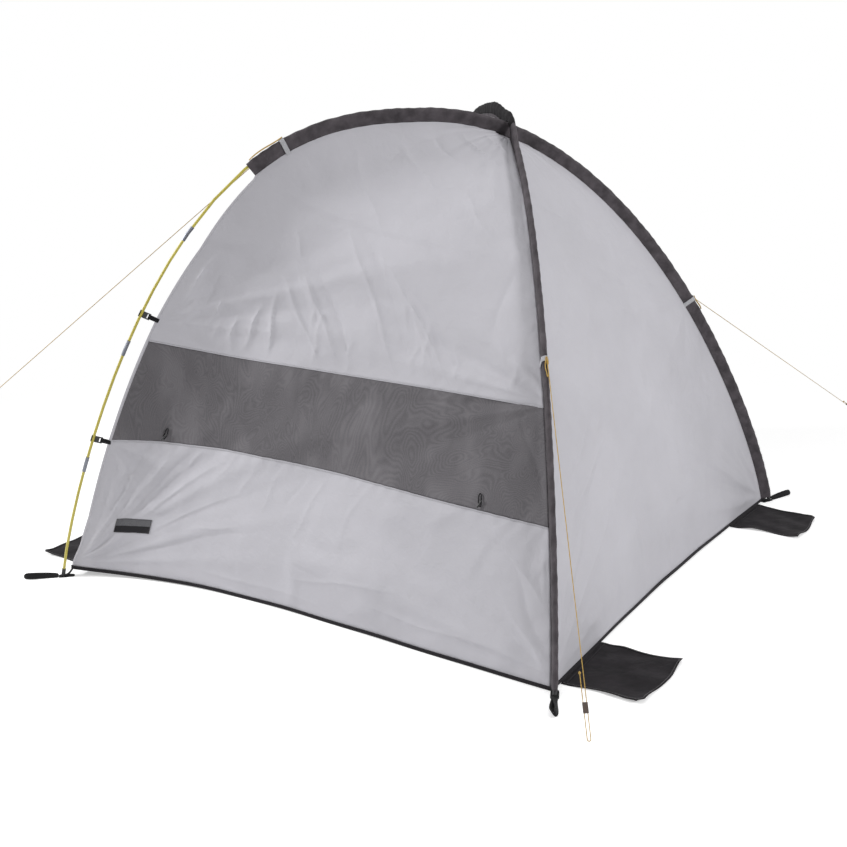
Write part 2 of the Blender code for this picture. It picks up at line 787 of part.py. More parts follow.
def offset_loop(loop, distance):
    """A flat closed loop moved outward by a distance, mitred at its corners."""
    points = np.array(loop)
    before = points - np.roll(points, 1, axis=0)
    after = np.roll(points, -1, axis=0) - points
    before /= np.linalg.norm(before, axis=1)[:, None]
    after /= np.linalg.norm(after, axis=1)[:, None]
    out_before = np.stack((before[:, 1], -before[:, 0], before[:, 2]), axis=1)
    out_after = np.stack((after[:, 1], -after[:, 0], after[:, 2]), axis=1)
    mitre = out_before + out_after
    mitre /= (1 + np.sum(out_before * out_after, axis=1))[:, None]
    return points + mitre * distance


def foot_point(arch, front):
    """Where a pole stands on the ground."""
    point = arch.points[0] if front else arch.points[-1]
    return np.array((point[0], point[1], 0.0))


def loop_direction(name):
    """The way that a peg loop lies, flat on the ground."""
    turn = FRONT_LOOP_TURN if name.startswith("front") else BACK_LOOP_TURN
    x = math.cos(math.radians(turn))
    y = math.sin(math.radians(turn))
    return np.array((x if name.endswith("left") else -x, -y if name.startswith("front") else y, 0.0))


def corner_reach():
    """How far a corner tab reaches past its eyelet."""
    return EYELET_RADIUS * 4


def add_corner_tab(sheet, name, corner, foot):
    """A rounded tab with an eyelet for a pole tip."""
    along = loop_direction(name)
    across = np.cross(UP, along)
    half = CORNER_TAB_WIDTH / 2
    back = np.dot(corner - foot, along) - RIM_RADIUS
    reach = corner_reach()
    outline = [(back, -half), (reach - half / 2, -half), (reach, -half / 2)]
    outline += [(reach, half / 2), (reach - half / 2, half), (back, half)]
    middle = foot + UP * CORNER_TAB_THICKNESS / 2
    tab = extruded(
        f"{name}_corner_tab",
        outline,
        lambda x, y: middle + along * x + across * y,
        UP,
        CORNER_TAB_THICKNESS,
        dark_cloth(),
    )
    with_boolean(sheet, tab, "UNION")
    hole = extruded(
        f"{name}_eyelet",
        circle(EYELET_RADIUS, ROUND_SIDES * 2),
        lambda x, y: middle + along * x + across * y,
        UP,
        CORNER_TAB_THICKNESS + OVERRUN,
        dark_cloth(),
    )
    with_boolean(sheet, hole, "DIFFERENCE")


def add_groundsheet(left_arch, right_arch, corners):
    """The sheet with its piped rim: rings of points over the rim, and flat faces inside them."""
    loop = base_loop(left_arch, right_arch)
    slope = RIM_RADIUS * math.sqrt(0.5)
    profile = [(-RIM_RADIUS, SHEET_THICKNESS), (-slope, RIM_RADIUS + slope), (0.0, RIM_RADIUS * 2)]
    profile += [(slope, RIM_RADIUS + slope), (RIM_RADIUS, RIM_RADIUS), (slope, RIM_RADIUS - slope)]
    profile.append((0.0, 0.0))
    points = []
    for reach, height in profile:
        points += list(offset_loop(loop, reach) + UP * height)
    sheet = add_object("groundsheet", points, ring_faces(len(profile), len(loop), False), dark_cloth())
    for name, (arch, front) in corners.items():
        add_corner_tab(sheet, name, base_corner(arch, front), foot_point(arch, front))
    return loop


def add_peg_loop(name, foot):
    """A webbing loop that lies flat, hinged at its rounded inner end, with a slot for a peg."""
    along = loop_direction(name)
    across = np.cross(UP, along)
    round_end = LOOP_THICKNESS / 2
    start = foot + along * (corner_reach() + CLEARANCE + round_end) + UP * round_end
    side = arc((0.0, 0.0), round_end, 270, 90, ARC_STEPS)
    side += [(LOOP_LENGTH, round_end), (LOOP_LENGTH, -round_end)]
    strap = extruded(
        f"{name}_peg_loop",
        side,
        lambda x, y: start + along * x + UP * y,
        across,
        LOOP_WIDTH,
        black_webbing(),
        start,
    )
    far = LOOP_LENGTH - LOOP_SLOT_MARGIN
    near = far - LOOP_SLOT_LENGTH
    half = LOOP_SLOT_WIDTH / 2
    slot = extruded(
        f"{name}_peg_slot",
        [(near, -half), (far, -half), (far, half), (near, half)],
        lambda x, y: start + along * x + across * y,
        UP,
        LOOP_THICKNESS + OVERRUN,
        black_webbing(),
    )
    return with_boolean(strap, slot, "DIFFERENCE")


def edge_y(loop, x, back):
    """The rim's y at an x, on the back or the front edge."""
    side = [point for point in loop if (point[1] > 0) == back and abs(point[1]) > FOOT_Y / 2]
    side = sorted((point[0], point[1]) for point in side if abs(point[0]) <= FRONT_FOOT_X)
    keep = [(px, py) for px, py in side if abs(py) > FOOT_Y - FRONT_BOW * 2]
    return float(np.interp(x, [px for px, _ in keep], [py for _, py in keep]))


def flap_seat():
    """Distance of a flap's hinge line from the rim's centre line."""
    return RIM_RADIUS + CLEARANCE + FLAP_THICKNESS / 2


def add_flap(name, loop):
    """A sand flap beside a corner, hinged at the rim's side, that slopes to the ground and lies flat."""
    back = name.startswith("back")
    mirror = MIRROR if name.endswith("right") else np.ones(3)
    outside = 1.0 if back else -1.0
    half = FLAP_THICKNESS / 2
    inner, outer = [
        (x, edge_y(loop, x, back) + outside * flap_seat()) for x in (FLAP_INNER_X, FLAP_OUTER_X)
    ]
    round_y = FOOT_Y + FLAP_PAST_FOOT - FLAP_CORNER
    rounds = arc((FLAP_OUTER_X - FLAP_CORNER, round_y), FLAP_CORNER, 0, 90, ARC_STEPS // 2)
    rounds += arc((FLAP_INNER_X + FLAP_CORNER, round_y), FLAP_CORNER, 90, 180, ARC_STEPS // 2)
    hinge = [np.array((x, y, RIM_RADIUS)) for x, y in (inner, outer)]
    flat = [np.array((outer[0], outer[1] + outside * FLAP_SLOPE, half))]
    flat += [np.array((x, y * outside, half)) for x, y in rounds]
    flat.append(np.array((inner[0], inner[1] + outside * FLAP_SLOPE, half)))
    outline = [point * mirror for point in hinge + flat]
    count = len(outline)
    points = [point - UP * half for point in outline] + [point + UP * half for point in outline]
    faces = ring_faces(2, count, False)[:-2]
    for first in (0, count):
        faces.append((first, first + 1, first + 2, first + count - 1))
        faces.append(tuple(range(first + 2, first + count)))
    middle = (outline[0] + outline[1]) / 2
    return add_object(f"{name}_sand_flap", points, faces, dark_cloth(), middle)


def add_guy_tape(arch, name, station):
    """A tape folded over the sleeve, open toward the seam."""
    point, along, outward, side = arch.at(station)
    skin = TUNNEL_RADIUS + CLEARANCE + TAPE_THICKNESS / 2
    foot = SEAM_RADIUS + CLEARANCE + TAPE_THICKNESS / 2
    depth = SEAM_DEPTH - SEAM_RADIUS * 2
    path = [(-depth, -foot)] + arc((0.0, 0.0), skin, -90, 90, ROUND_SIDES) + [(-depth, foot)]
    outline = ribbon(path, TAPE_THICKNESS)
    return extruded(
        f"{name}_guy_tape",
        outline,
        lambda x, y: point + outward * x + side * y,
        along,
        TAPE_WIDTH,
        grey_tape(),
    )


def guy_frame(arch, name, station):
    """A guy line's upper end, its lower end, its direction uphill and the way its tail lies."""
    point, along, outward, _ = arch.at(station)
    end = np.array((*GUY_ENDS[name], LINE_RADIUS * 2))
    pull = end - point
    pull = unit(pull - along * np.dot(pull, along))
    knot = TUNNEL_RADIUS + TAPE_THICKNESS + LINE_RADIUS + CLEARANCE * 2
    start = point + unit(pull + outward) * knot
    uphill = unit(start - end)
    level = unit(np.cross(UP, uphill))
    return start, end, uphill, level


def add_guy_line(arch, name, station):
    """A thin line from the tape to a turn on the ground, and its tail back up beside it."""
    start, end, uphill, level = guy_frame(arch, name, station)
    low = end + uphill * LINE_TURN
    route = [start + (low - start) * share for share in np.linspace(0, 1, LINE_STEPS)]
    middle = low + level * LINE_TURN
    for turn in np.radians(np.linspace(0, 180, ARC_STEPS + 1))[1:]:
        route.append(middle - level * LINE_TURN * math.cos(turn) - uphill * LINE_TURN * math.sin(turn))
    tail = route[-1]
    route += [tail + uphill * LINE_TAIL * share for share in np.linspace(0, 1, ARC_STEPS + 1)[1:]]
    curve = bpy.data.curves.new(f"{name}_guy_line", "CURVE")
    curve.dimensions = "3D"
    curve.bevel_depth = LINE_RADIUS
    curve.bevel_resolution = 2
    curve.use_fill_caps = True
    spline = curve.splines.new("POLY")
    spline.points.add(len(route) - 1)
    for place, point in zip(spline.points, route):
        place.co = (*point, 1.0)
    curve.materials.append(yellow_cord())
    made = bpy.data.objects.new(f"{name}_guy_line", curve)
    bpy.context.collection.objects.link(made)
    return made


def add_guy_runner(arch, name, station):
    """A slider that grips the line and its tail, a little above the ground end."""
    _, end, uphill, level = guy_frame(arch, name, station)
    face = np.cross(uphill, level)
    middle = end + uphill * (RUNNER_HEIGHT + RUNNER_LENGTH / 2) + level * LINE_TURN
    half = RUNNER_WIDTH / 2
    deep = RUNNER_THICKNESS / 2
    cut = deep / 2

    def place(x, y):
        return middle + level * x + face * y

    outline = [(-half, -cut), (-half + cut, -deep), (half - cut, -deep), (half, -cut)]
    outline += [(half, cut), (half - cut, deep), (-half + cut, deep), (-half, cut)]
    runner = extruded(f"{name}_guy_runner", outline, place, uphill, RUNNER_LENGTH, brown_plastic(), middle)
    bore = (LINE_RADIUS + RUNNER_BORE_GAP) / math.cos(math.pi / ROUND_SIDES)
    for side, shift in (("line", -LINE_TURN), ("tail", LINE_TURN)):
        ring = [(x + shift, y) for x, y in circle(bore, ROUND_SIDES)]
        length = RUNNER_LENGTH + OVERRUN
        hole = extruded(f"{name}_{side}_bore", ring, place, uphill, length, brown_plastic())
        with_boolean(runner, hole, "DIFFERENCE")
    return runner


def add_label(grid, wall):
    """A blank label that lies on the wall's outer face."""
    up = LABEL_UP_SHARE * FOOT_STEPS
    row = int(up)
    shares = column_shares()

    def on_wall(share, level):
        base = int(level)
        lines = []
        for line in (grid[base], grid[base + 1]):
            lines.append(np.array([np.interp(share, shares, [p[axis] for p in line]) for axis in range(3)]))
        return lines[0] + (lines[1] - lines[0]) * (level - base)

    centre = on_wall(LABEL_FRONT_SHARE, up)
    across = unit(on_wall(shares[1] + LABEL_FRONT_SHARE, up) - centre)
    upright = unit(grid[row + 1][1] - grid[row][1])
    upright = unit(upright - across * np.dot(upright, across))
    centre = centre + np.cross(across, upright) * LABEL_LENGTH / 4
    points = []
    for y in np.linspace(-0.5, 0.5, LABEL_STEPS // 2 + 1):
        for x in np.linspace(-0.5, 0.5, LABEL_STEPS + 1):
            points.append(centre + across * x * LABEL_LENGTH + upright * y * LABEL_HEIGHT)
    grid_points = [points[i:i + LABEL_STEPS + 1] for i in range(0, len(points), LABEL_STEPS + 1)]
    label = add_panel("label_patch", grid_points, grey_tape())
    label.modifiers["cloth"].thickness = LABEL_THICKNESS
    wrap = label.modifiers.new("wrap", "SHRINKWRAP")
    wrap.target = wall
    wrap.wrap_method = "NEAREST_SURFACEPOINT"
    wrap.wrap_mode = "ABOVE_SURFACE"
    wrap.offset = LABEL_GAP + LABEL_THICKNESS / 2
    label.modifiers.move(1, 0)
    return label


def build():
    """Every piece of the tent."""
    remove_scene_objects()
    left = Arch(mirrored=False)
    right = Arch(mirrored=True)
    corners = {
        "front_left": (left, True),
        "front_right": (right, True),
        "back_left": (right, False),
        "back_right": (left, False),
    }
    for owner, arch, other in (("left", left, right), ("right", right, left)):
        add_pole(arch, owner)
        add_sleeve(arch, owner)
        add_hem(arch, other, owner)
        add_clip(arch, f"{owner}_lower_clip", LOWER_CLIP)
        add_clip(arch, f"{owner}_upper_clip", UPPER_CLIP)
        grid, lower = add_side_wall(arch, other, owner)
        if owner == "left":
            add_label(grid, lower)
    add_back_wall(left, right)
    add_roof(left)
    loop = add_groundsheet(left, right, corners)
    for name, (arch, front) in corners.items():
        station = FRONT_TAPE if front else arch.length - BACK_TAPE
        add_peg_loop(name, foot_point(arch, front))
        add_flap(name, loop)
        add_guy_tape(arch, name, station)
        add_guy_line(arch, name, station)
        add_guy_runner(arch, name, station)


build()
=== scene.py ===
"""Beach tent with crossed poles: its cloth, cords, webbing and finishes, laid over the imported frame.

Metres, +Z up, the open side toward -Y. Left is +X, seen by someone who sits inside and looks out.
"""

import math

import bpy
import numpy as np
from mathutils import Matrix


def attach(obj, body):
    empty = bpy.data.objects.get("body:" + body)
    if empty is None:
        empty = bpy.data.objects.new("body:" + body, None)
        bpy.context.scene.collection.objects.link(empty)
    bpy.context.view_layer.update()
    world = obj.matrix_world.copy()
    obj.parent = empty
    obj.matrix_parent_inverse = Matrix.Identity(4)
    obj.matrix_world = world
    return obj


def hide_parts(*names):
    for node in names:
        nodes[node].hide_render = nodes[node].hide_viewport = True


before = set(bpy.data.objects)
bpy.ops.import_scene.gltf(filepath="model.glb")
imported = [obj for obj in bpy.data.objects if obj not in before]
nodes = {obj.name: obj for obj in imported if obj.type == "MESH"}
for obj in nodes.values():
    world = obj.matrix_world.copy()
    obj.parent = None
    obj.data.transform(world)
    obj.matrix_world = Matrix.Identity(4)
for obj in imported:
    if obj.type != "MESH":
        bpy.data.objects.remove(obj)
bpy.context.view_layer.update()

# Poles and their arch, as in the part's source
FRONT_FOOT_X = 0.868
BACK_FOOT_X = 0.839
FOOT_Y = 0.7765
ARCH_HEIGHT = 1.300
ARCH_LEAN = 0.157
ARCH_TWIST = 0.0395
ARCH_CENTRE = np.array((0.0, 0.100, 0.350))
PEAK_SHARE = 0.0845
FRONT_FALL = 2.757
BACK_FALL = 1.962
ROUND = 1.185
TUNNEL_RADIUS = 0.0075
SLEEVE_START = 1.310
SLEEVE_FOOT = 0.020
SEAM_DEPTH = 0.027
CROSSING_REACH = 0.150
CROSSING_GAP = 0.0012
CROSSING_SEAM = 0.045
CROSSING_DEPTH = 0.0088

# Walls
BAND_FRONT = (0.445, 0.759)
BAND_BACK = (0.395, 0.696)
SIDE_ROW = 1.62
SIDE_TAPER = 0.72
BACK_ROW = 1.55
BACK_TAPER = 0.75
SIDE_BOW = 0.102
SIDE_BOW_LEAN = 1.2
BACK_BOW = 0.022
WALL_MARGIN = 0.0025
FRONT_BOW = 0.050
ROOF_BOW = 0.090
BASE = 0.0084
CORNER_LIFT = 0.020
RIM_RADIUS = 0.0040
DOOR_STATIONS = (0.0, 0.200, 0.826, 1.068, SLEEVE_START)
DOOR_GAPS = (0.027, 0.0425, 0.0425, 0.050, 0.035)
LOWER_CLIP = 0.440
UPPER_CLIP = 0.826

# Guy lines
LINE_RADIUS = 0.0010
LINE_TURN = 0.0040
LINE_TAIL = 0.140
KNOT_ROOM = 0.009
TAPES = {"front": 1.435, "back": 0.813}
GUY_ENDS = {
    "front_left": (0.880, -1.742),
    "front_right": (-0.880, -1.742),
    "back_left": (0.990, 0.935),
    "back_right": (-2.265, 0.710),
}

# Cloth thicknesses, and straps and stitches as width and thickness
WALL_CLOTH = 0.0006
SLEEVE_CLOTH = 0.0005
HEAVY_CLOTH = 0.0009
STITCH = (0.0011, 0.0006)
BAR_STITCH = (0.0012, 0.0007)
CLIP_STRAP = (0.0116, 0.0011)
LOOP_STRAP = (0.0170, 0.0016)
TAPE_STRAP = (0.0135, 0.0012)
FLAP_HEM = (0.008, 0.0012)
BINDING = (0.0026, 0.0070)
DOOR_HEM = (0.0080, 0.0015)
ROOF_HEM = (0.014, 0.0022)
LABEL_UPPER_CLOTH = 0.0007
LABEL_LOWER_CLOTH = 0.0008
THREAD_RADIUS = 0.0005
KNOT_RADIUS = 0.0011
FLAP_PIPING_RADIUS = 0.0017

# Straps folded round the clips' bars: where the fold lies inward of the pole, and its radius
CLIP_FOLD = -0.024
CLIP_FOLD_RADIUS = 0.00345

# Tapes over the sleeves: how deep they go, and where the rows of tacks are, in mm below the pole
TAPE_DEPTH = 0.037
TAPE_RADIUS = 0.0110
TACK_ROWS = (31, 35)
TACK_HALF = 0.0055

# Corner tabs and peg loops
TAB_REACH = 0.0115
TAB_HALF = 0.0105
TAB_HOLE = 0.0034
TAB_THICKNESS = 0.0018
EYELET_RADIUS = 0.0048
LOOP_START = 0.0120
LOOP_REACH = 0.088

# Label, and the length of the wall's row that it sits on
LABEL_FRONT = 0.1647
LABEL_SHARE = 0.092
LABEL_LENGTH = 0.105
LABEL_HEIGHT = 0.045
LABEL_DROP = 0.004
LABEL_ROW = 1.47

# Toggles under the windows: station up the front pole, and share along the row
TOGGLES = {"front_toggle": (0.480, 0.108), "back_toggle": (0.477, 0.856)}

CORNERS = ("front_left", "front_right", "back_left", "back_right")
UP = np.array((0.0, 0.0, 1.0))
MIRROR = np.array((-1.0, 1.0, 1.0))


def unit(vectors):
    """Vectors along the last axis at a length of one."""
    vectors = np.asarray(vectors, float)
    return vectors / np.linalg.norm(vectors, axis=-1, keepdims=True)


def smooth(value, low, high):
    """0 below low, 1 above high, and 3t^2 - 2t^3 between them."""
    t = np.clip((np.asarray(value, float) - low) / (high - low), 0.0, 1.0)
    return t * t * (3.0 - 2.0 * t)


def bump(value, centre, width):
    """exp(-((value - centre) / width)^2)."""
    return np.exp(-(((np.asarray(value, float) - centre) / width) ** 2))


def run_lengths(points):
    """The length along a line at each of its points."""
    return np.concatenate(([0.0], np.cumsum(np.linalg.norm(np.diff(points, axis=0), axis=1))))


def carry(body, pieces):
    """Lets a body carry pieces with it."""
    for piece in pieces:
        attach(piece, body)


# Camera

camera_data = bpy.data.cameras.new("camera")
camera_data.sensor_width = 36.0
camera_data.lens = 36.0 * 1300.0 / 847.0
camera_data.clip_start = 0.05
camera_data.clip_end = 100.0
camera = bpy.data.objects.new("camera", camera_data)
bpy.context.scene.collection.objects.link(camera)
turn, tilt, roll = np.radians((121.10, 14.86, -0.35))
right = np.array((math.cos(turn), math.sin(turn), 0.0))
back = np.array((math.sin(turn) * math.cos(tilt), -math.cos(turn) * math.cos(tilt), math.sin(tilt)))
above = np.cross(back, right)
across = right * math.cos(roll) + above * math.sin(roll)
upright = -right * math.sin(roll) + above * math.cos(roll)
pose = np.eye(4)
pose[:3, 0], pose[:3, 1], pose[:3, 2], pose[:3, 3] = across, upright, back, (3.3448, 1.9381, 1.3856)
camera.matrix_world = Matrix(pose.tolist())
bpy.context.scene.camera = camera


# Pole lines


def pole_line(mirrored):
    """A pole's centre line with its frames, as tables over the length from its front foot.

    With share s from 1 at the front foot to -1 at the back foot, fall is the distance from the peak
    to a power and rise is (1 - fall)^(1/1.185). The line is the chord between the feet, moved
    sideways by (0.157 + 0.0395 s) rise and up by 1.3 rise. Outward points away from the tent's
    middle, square to the line. The right pole is the left one mirrored in x.
    """
    share = np.linspace(1.0, -1.0, 4000)
    front = np.array((FRONT_FOOT_X, -FOOT_Y))
    rear = np.array((-BACK_FOOT_X, FOOT_Y))
    chord = unit(front - rear)
    aside = np.array((-chord[1], chord[0]))
    behind = np.clip((PEAK_SHARE - share) / (1 + PEAK_SHARE), 0, 1) ** BACK_FALL
    ahead = np.clip((share - PEAK_SHARE) / (1 - PEAK_SHARE), 0, 1) ** FRONT_FALL
    rise = np.clip(1 - behind - ahead, 0, 1) ** (1 / ROUND)
    flat = (front + rear) / 2 + share[:, None] * (front - rear) / 2
    flat = flat + ((ARCH_LEAN + ARCH_TWIST * share) * rise)[:, None] * aside
    point = np.column_stack((flat, ARCH_HEIGHT * rise))
    station = run_lengths(point)
    along = unit(np.gradient(point, station, axis=0))
    reach = point - ARCH_CENTRE
    outward = unit(reach - np.sum(reach * along, axis=1)[:, None] * along)
    side = np.cross(along, outward)
    flip = MIRROR if mirrored else np.ones(3)
    crossing = float(np.interp(0.0, -point[:, 0], station))
    line = {"station": station, "length": station[-1], "crossing": crossing, "lifted": mirrored}
    line.update(point=point * flip, along=along * flip, outward=outward * flip, side=side * flip)
    return line


def read(line, what, station):
    """A table's values at stations of any shape."""
    table = line[what]
    return np.stack([np.interp(station, line["station"], table[:, axis]) for axis in range(3)], axis=-1)


def lift(line, station):
    """How far the right pole rises over the left one: cos^2 of the share of 0.15 m from the crossing."""
    away = np.clip(np.abs(np.asarray(station) - line["crossing"]) / CROSSING_REACH, 0, 1)
    height = (TUNNEL_RADIUS * 2 + CROSSING_GAP) * np.cos(math.pi / 2 * away) ** 2
    return height if line["lifted"] else height * 0.0


def seam(line, station):
    """The line where panels are sewn to a sleeve."""
    return read(line, "point", station) - read(line, "outward", station) * SEAM_DEPTH


left_pole = pole_line(False)
right_pole = pole_line(True)
POLES = {"left": left_pole, "right": right_pole}
LENGTH = left_pole["length"]
FRONT_TOP = left_pole["crossing"] - CROSSING_SEAM
BACK_TOP = LENGTH - left_pole["crossing"] - CROSSING_SEAM


# Making meshes


def mesh_piece(name, points, faces, look, uv=None, smooth_angle=40.0):
    """A mesh object at the origin from arrays of points and faces, with its UVs by corner."""
    mesh = bpy.data.meshes.new(name)
    mesh.from_pydata(np.asarray(points, float).tolist(), [], [list(map(int, face)) for face in faces])
    if uv is not None:
        corner = np.zeros(len(mesh.loops), np.int64)
        mesh.loops.foreach_get("vertex_index", corner)
        layer = mesh.uv_layers.new(name="cloth")
        layer.data.foreach_set("uv", np.asarray(uv, np.float32)[corner].reshape(-1))
    mesh.materials.append(look)
    mesh.shade_smooth()
    mesh.set_sharp_from_angle(angle=math.radians(smooth_angle))
    made = bpy.data.objects.new(name, mesh)
    bpy.context.scene.collection.objects.link(made)
    return made


def quads(rows, columns, around=False):
    """Faces of a grid of rows and columns, joined round across the columns if asked."""
    span = columns if around else columns - 1
    row, column = np.meshgrid(np.arange(rows - 1), np.arange(span), indexing="ij")
    after = (column + 1) % columns
    faces = (
        row * columns + column, row * columns + after, (row + 1) * columns + after,
        (row + 1) * columns + column,
    )
    return np.stack([face.reshape(-1) for face in faces], axis=1)


def metric_uv(grid):
    """UVs in metres: length along each row, and length up each column."""
    across_steps = np.linalg.norm(np.diff(grid, axis=1), axis=2)
    up_steps = np.linalg.norm(np.diff(grid, axis=0), axis=2)
    u = np.concatenate((np.zeros((grid.shape[0], 1)), np.cumsum(across_steps, axis=1)), axis=1)
    v = np.concatenate((np.zeros((1, grid.shape[1])), np.cumsum(up_steps, axis=0)), axis=0)
    return np.stack((u, v), axis=-1)


def outward_faces(grid, faces, centre):
    """The faces, turned round where the sheet as a whole faces toward the centre."""
    points = grid.reshape(-1, 3)
    a, b, c = (points[faces[:, corner]] for corner in range(3))
    normal = np.cross(b - a, c - a)
    facing = np.sum(normal * ((a + c) / 2 - centre))
    return faces if facing > 0 else faces[:, ::-1]


def sheet_piece(name, grid, look, thickness, centre=ARCH_CENTRE):
    """A cloth sheet from a grid of points, given its thickness about its middle."""
    faces = outward_faces(grid, quads(*grid.shape[:2]), centre)
    made = mesh_piece(name, grid.reshape(-1, 3), faces, look, metric_uv(grid).reshape(-1, 2))
    wall = made.modifiers.new("thickness", "SOLIDIFY")
    wall.thickness = thickness
    wall.offset = 0.0
    return made


def frames_along(path, up):
    """Up and across at each point of a path, with up kept as close to the one given as it goes."""
    along = unit(np.gradient(path, axis=0))
    up = np.broadcast_to(np.asarray(up, float), path.shape)
    up = unit(up - np.sum(up * along, axis=1)[:, None] * along)
    return up, np.cross(along, up)


def swept(name, path, profile, look, up=UP, closed=False, smooth_angle=40.0):
    """A profile of (up, across) pairs carried along a path; the profile may change from point to point.

    Point i, j is path_i + up_i profile_ij0 + across_i profile_ij1. The ends are capped unless closed.
    """
    path = np.asarray(path, float)
    profile = np.asarray(profile, float)
    if profile.ndim == 2:
        profile = np.broadcast_to(profile, (len(path), *profile.shape))
    rises, sides = frames_along(path, up)
    grid = path[:, None] + rises[:, None] * profile[..., :1] + sides[:, None] * profile[..., 1:]
    rows, columns = grid.shape[:2]
    if closed:
        grid = np.concatenate((grid, grid[:1]), axis=0)
        rows += 1
    round_grid = np.concatenate((grid, grid[:, :1]), axis=1)
    steps = np.linalg.norm(np.diff(round_grid, axis=1), axis=2)
    u = np.concatenate((np.zeros((rows, 1)), np.cumsum(steps, axis=1)[:, :-1]), axis=1)
    lengths = run_lengths(grid.mean(axis=1))
    uv = np.stack((u, np.broadcast_to(lengths[:, None], u.shape)), axis=-1)
    faces = quads(rows, columns, around=True)
    centre_line = grid.mean(axis=1)
    points = grid.reshape(-1, 3)
    a, b, c = (points[faces[:, corner]] for corner in range(3))
    facing = np.sum(np.cross(b - a, c - a) * (a - centre_line[faces[:, 0] // columns]))
    if facing < 0:
        faces = faces[:, ::-1]
    caps = []
    if not closed:
        first = np.arange(columns)
        last = first + (rows - 1) * columns
        caps = [first[::-1], last] if facing > 0 else [first, last[::-1]]
    return mesh_piece(name, points, [*faces, *caps], look, uv.reshape(-1, 2), smooth_angle)


def ring(radius, sides=12):
    """A round profile."""
    angle = np.linspace(0, 2 * math.pi, sides, endpoint=False)
    return np.column_stack((np.cos(angle), np.sin(angle))) * radius


def strap_profile(width, thickness):
    """A flat strap's profile with rounded edges: (up, across) pairs."""
    angle = np.linspace(-math.pi / 2, math.pi / 2, 6)
    half = thickness / 2
    high = np.column_stack((np.sin(angle) * half, np.cos(angle) * half + width / 2 - half))
    return np.vstack((high, -high))


def along_path(points, count):
    """Points spread evenly along a line through the ones given, on Catmull-Rom curves."""
    points = np.asarray(points, float)
    padded = np.vstack((2 * points[0] - points[1], points, 2 * points[-1] - points[-2]))
    t = np.linspace(0, 1, 24, endpoint=False)[:, None, None]
    p0, p1, p2, p3 = padded[:-3], padded[1:-2], padded[2:-1], padded[3:]
    curve = 0.5 * (
        2 * p1 + (p2 - p0) * t + (2 * p0 - 5 * p1 + 4 * p2 - p3) * t**2 + (3 * p1 - p0 - 3 * p2 + p3) * t**3
    )
    fine = np.vstack((curve.transpose(1, 0, 2).reshape(-1, points.shape[1]), points[-1:]))
    length = run_lengths(fine)
    wanted = np.linspace(0, length[-1], count)
    return np.stack([np.interp(wanted, length, fine[:, axis]) for axis in range(points.shape[1])], axis=1)


# Finishes

STRANDS_PER_METRE = 420.0
STITCHES_PER_METRE = 330.0


def finish_of(name, roughness, metallic=0.0, sheen=0.0, coat=0.0, shine=0.5):
    """A material, its node tree and its shader with the even values set on its own sockets."""
    made = bpy.data.materials.new(name)
    made.use_nodes = True
    tree = made.node_tree
    shader = tree.nodes["Principled BSDF"]
    shader.inputs["Roughness"].default_value = roughness
    shader.inputs["Metallic"].default_value = metallic
    shader.inputs["Sheen Weight"].default_value = sheen
    shader.inputs["Sheen Roughness"].default_value = 0.5
    shader.inputs["Coat Weight"].default_value = coat
    shader.inputs["Specular IOR Level"].default_value = shine
    return made, tree, shader


def add(tree, kind, settings=(), **values):
    """A node with its settings and socket values; a value that is a socket is linked."""
    made = tree.nodes.new(kind)
    for name, value in dict(settings).items():
        setattr(made, name, value)
    for name, value in values.items():
        key = int(name[1:]) if name[0] == "i" and name[1:].isdigit() else name.replace("_", " ")
        if isinstance(value, bpy.types.NodeSocket):
            tree.links.new(value, made.inputs[key])
        else:
            made.inputs[key].default_value = value
    return made


def maths(tree, operation, first, second=0.0):
    """A Math node's output."""
    return add(tree, "ShaderNodeMath", {"operation": operation}, i0=first, i1=second).outputs[0]


def blend(tree, first, share, second, other_share):
    """The sum of two values, each times its share."""
    parts = (maths(tree, "MULTIPLY", first, share), maths(tree, "MULTIPLY", second, other_share))
    return maths(tree, "ADD", *parts)


def places(tree, scale=(1.0, 1.0, 1.0), turn=(0.0, 0.0, 0.0), by_uv=False):
    """Object coordinates or the piece's own UVs in metres, scaled and turned."""
    source = tree.nodes.new("ShaderNodeTexCoord").outputs["UV" if by_uv else "Object"]
    return add(tree, "ShaderNodeMapping", Vector=source, Scale=scale, Rotation=turn).outputs[0]


def noise(tree, place, scale, detail=3.0, rough=0.5, distortion=0.0, kind="FBM"):
    """A noise texture's value."""
    made = add(tree, "ShaderNodeTexNoise", {"noise_type": kind}, Vector=place, Scale=scale)
    made.inputs["Detail"].default_value = detail
    made.inputs["Roughness"].default_value = rough
    made.inputs["Distortion"].default_value = distortion
    return made.outputs[0]


def waves(tree, place, per_metre, direction="X"):
    """Straight bands, so many to the metre: the texture repeats every pi / 10 of its scaled length."""
    made = add(tree, "ShaderNodeTexWave", {"bands_direction": direction, "wave_profile": "SIN"}, Vector=place)
    made.inputs["Scale"].default_value = per_metre * math.pi / 10
    return made.outputs["Fac"]


def coloured(tree, shader, value, stops):
    """Gives the base colour colours along a value: (place, colour) pairs."""
    made = add(tree, "ShaderNodeValToRGB", Fac=value)
    band = made.color_ramp
    band.elements[0].position, band.elements[0].color = stops[0][0], (*stops[0][1], 1.0)
    band.elements[1].position, band.elements[1].color = stops[-1][0], (*stops[-1][1], 1.0)
    for position, colour in stops[1:-1]:
        band.elements.new(position).color = (*colour, 1.0)
    tree.links.new(made.outputs[0], shader.inputs["Base Color"])


def ranged(tree, value, low, high):
    """A value from 0 to 1 mapped to a range."""
    return add(tree, "ShaderNodeMapRange", Value=value, To_Min=low, To_Max=high).outputs[0]


def roughened(tree, shader, value, low, high):
    """Lets the roughness follow a value between low and high."""
    tree.links.new(ranged(tree, value, low, high), shader.inputs["Roughness"])


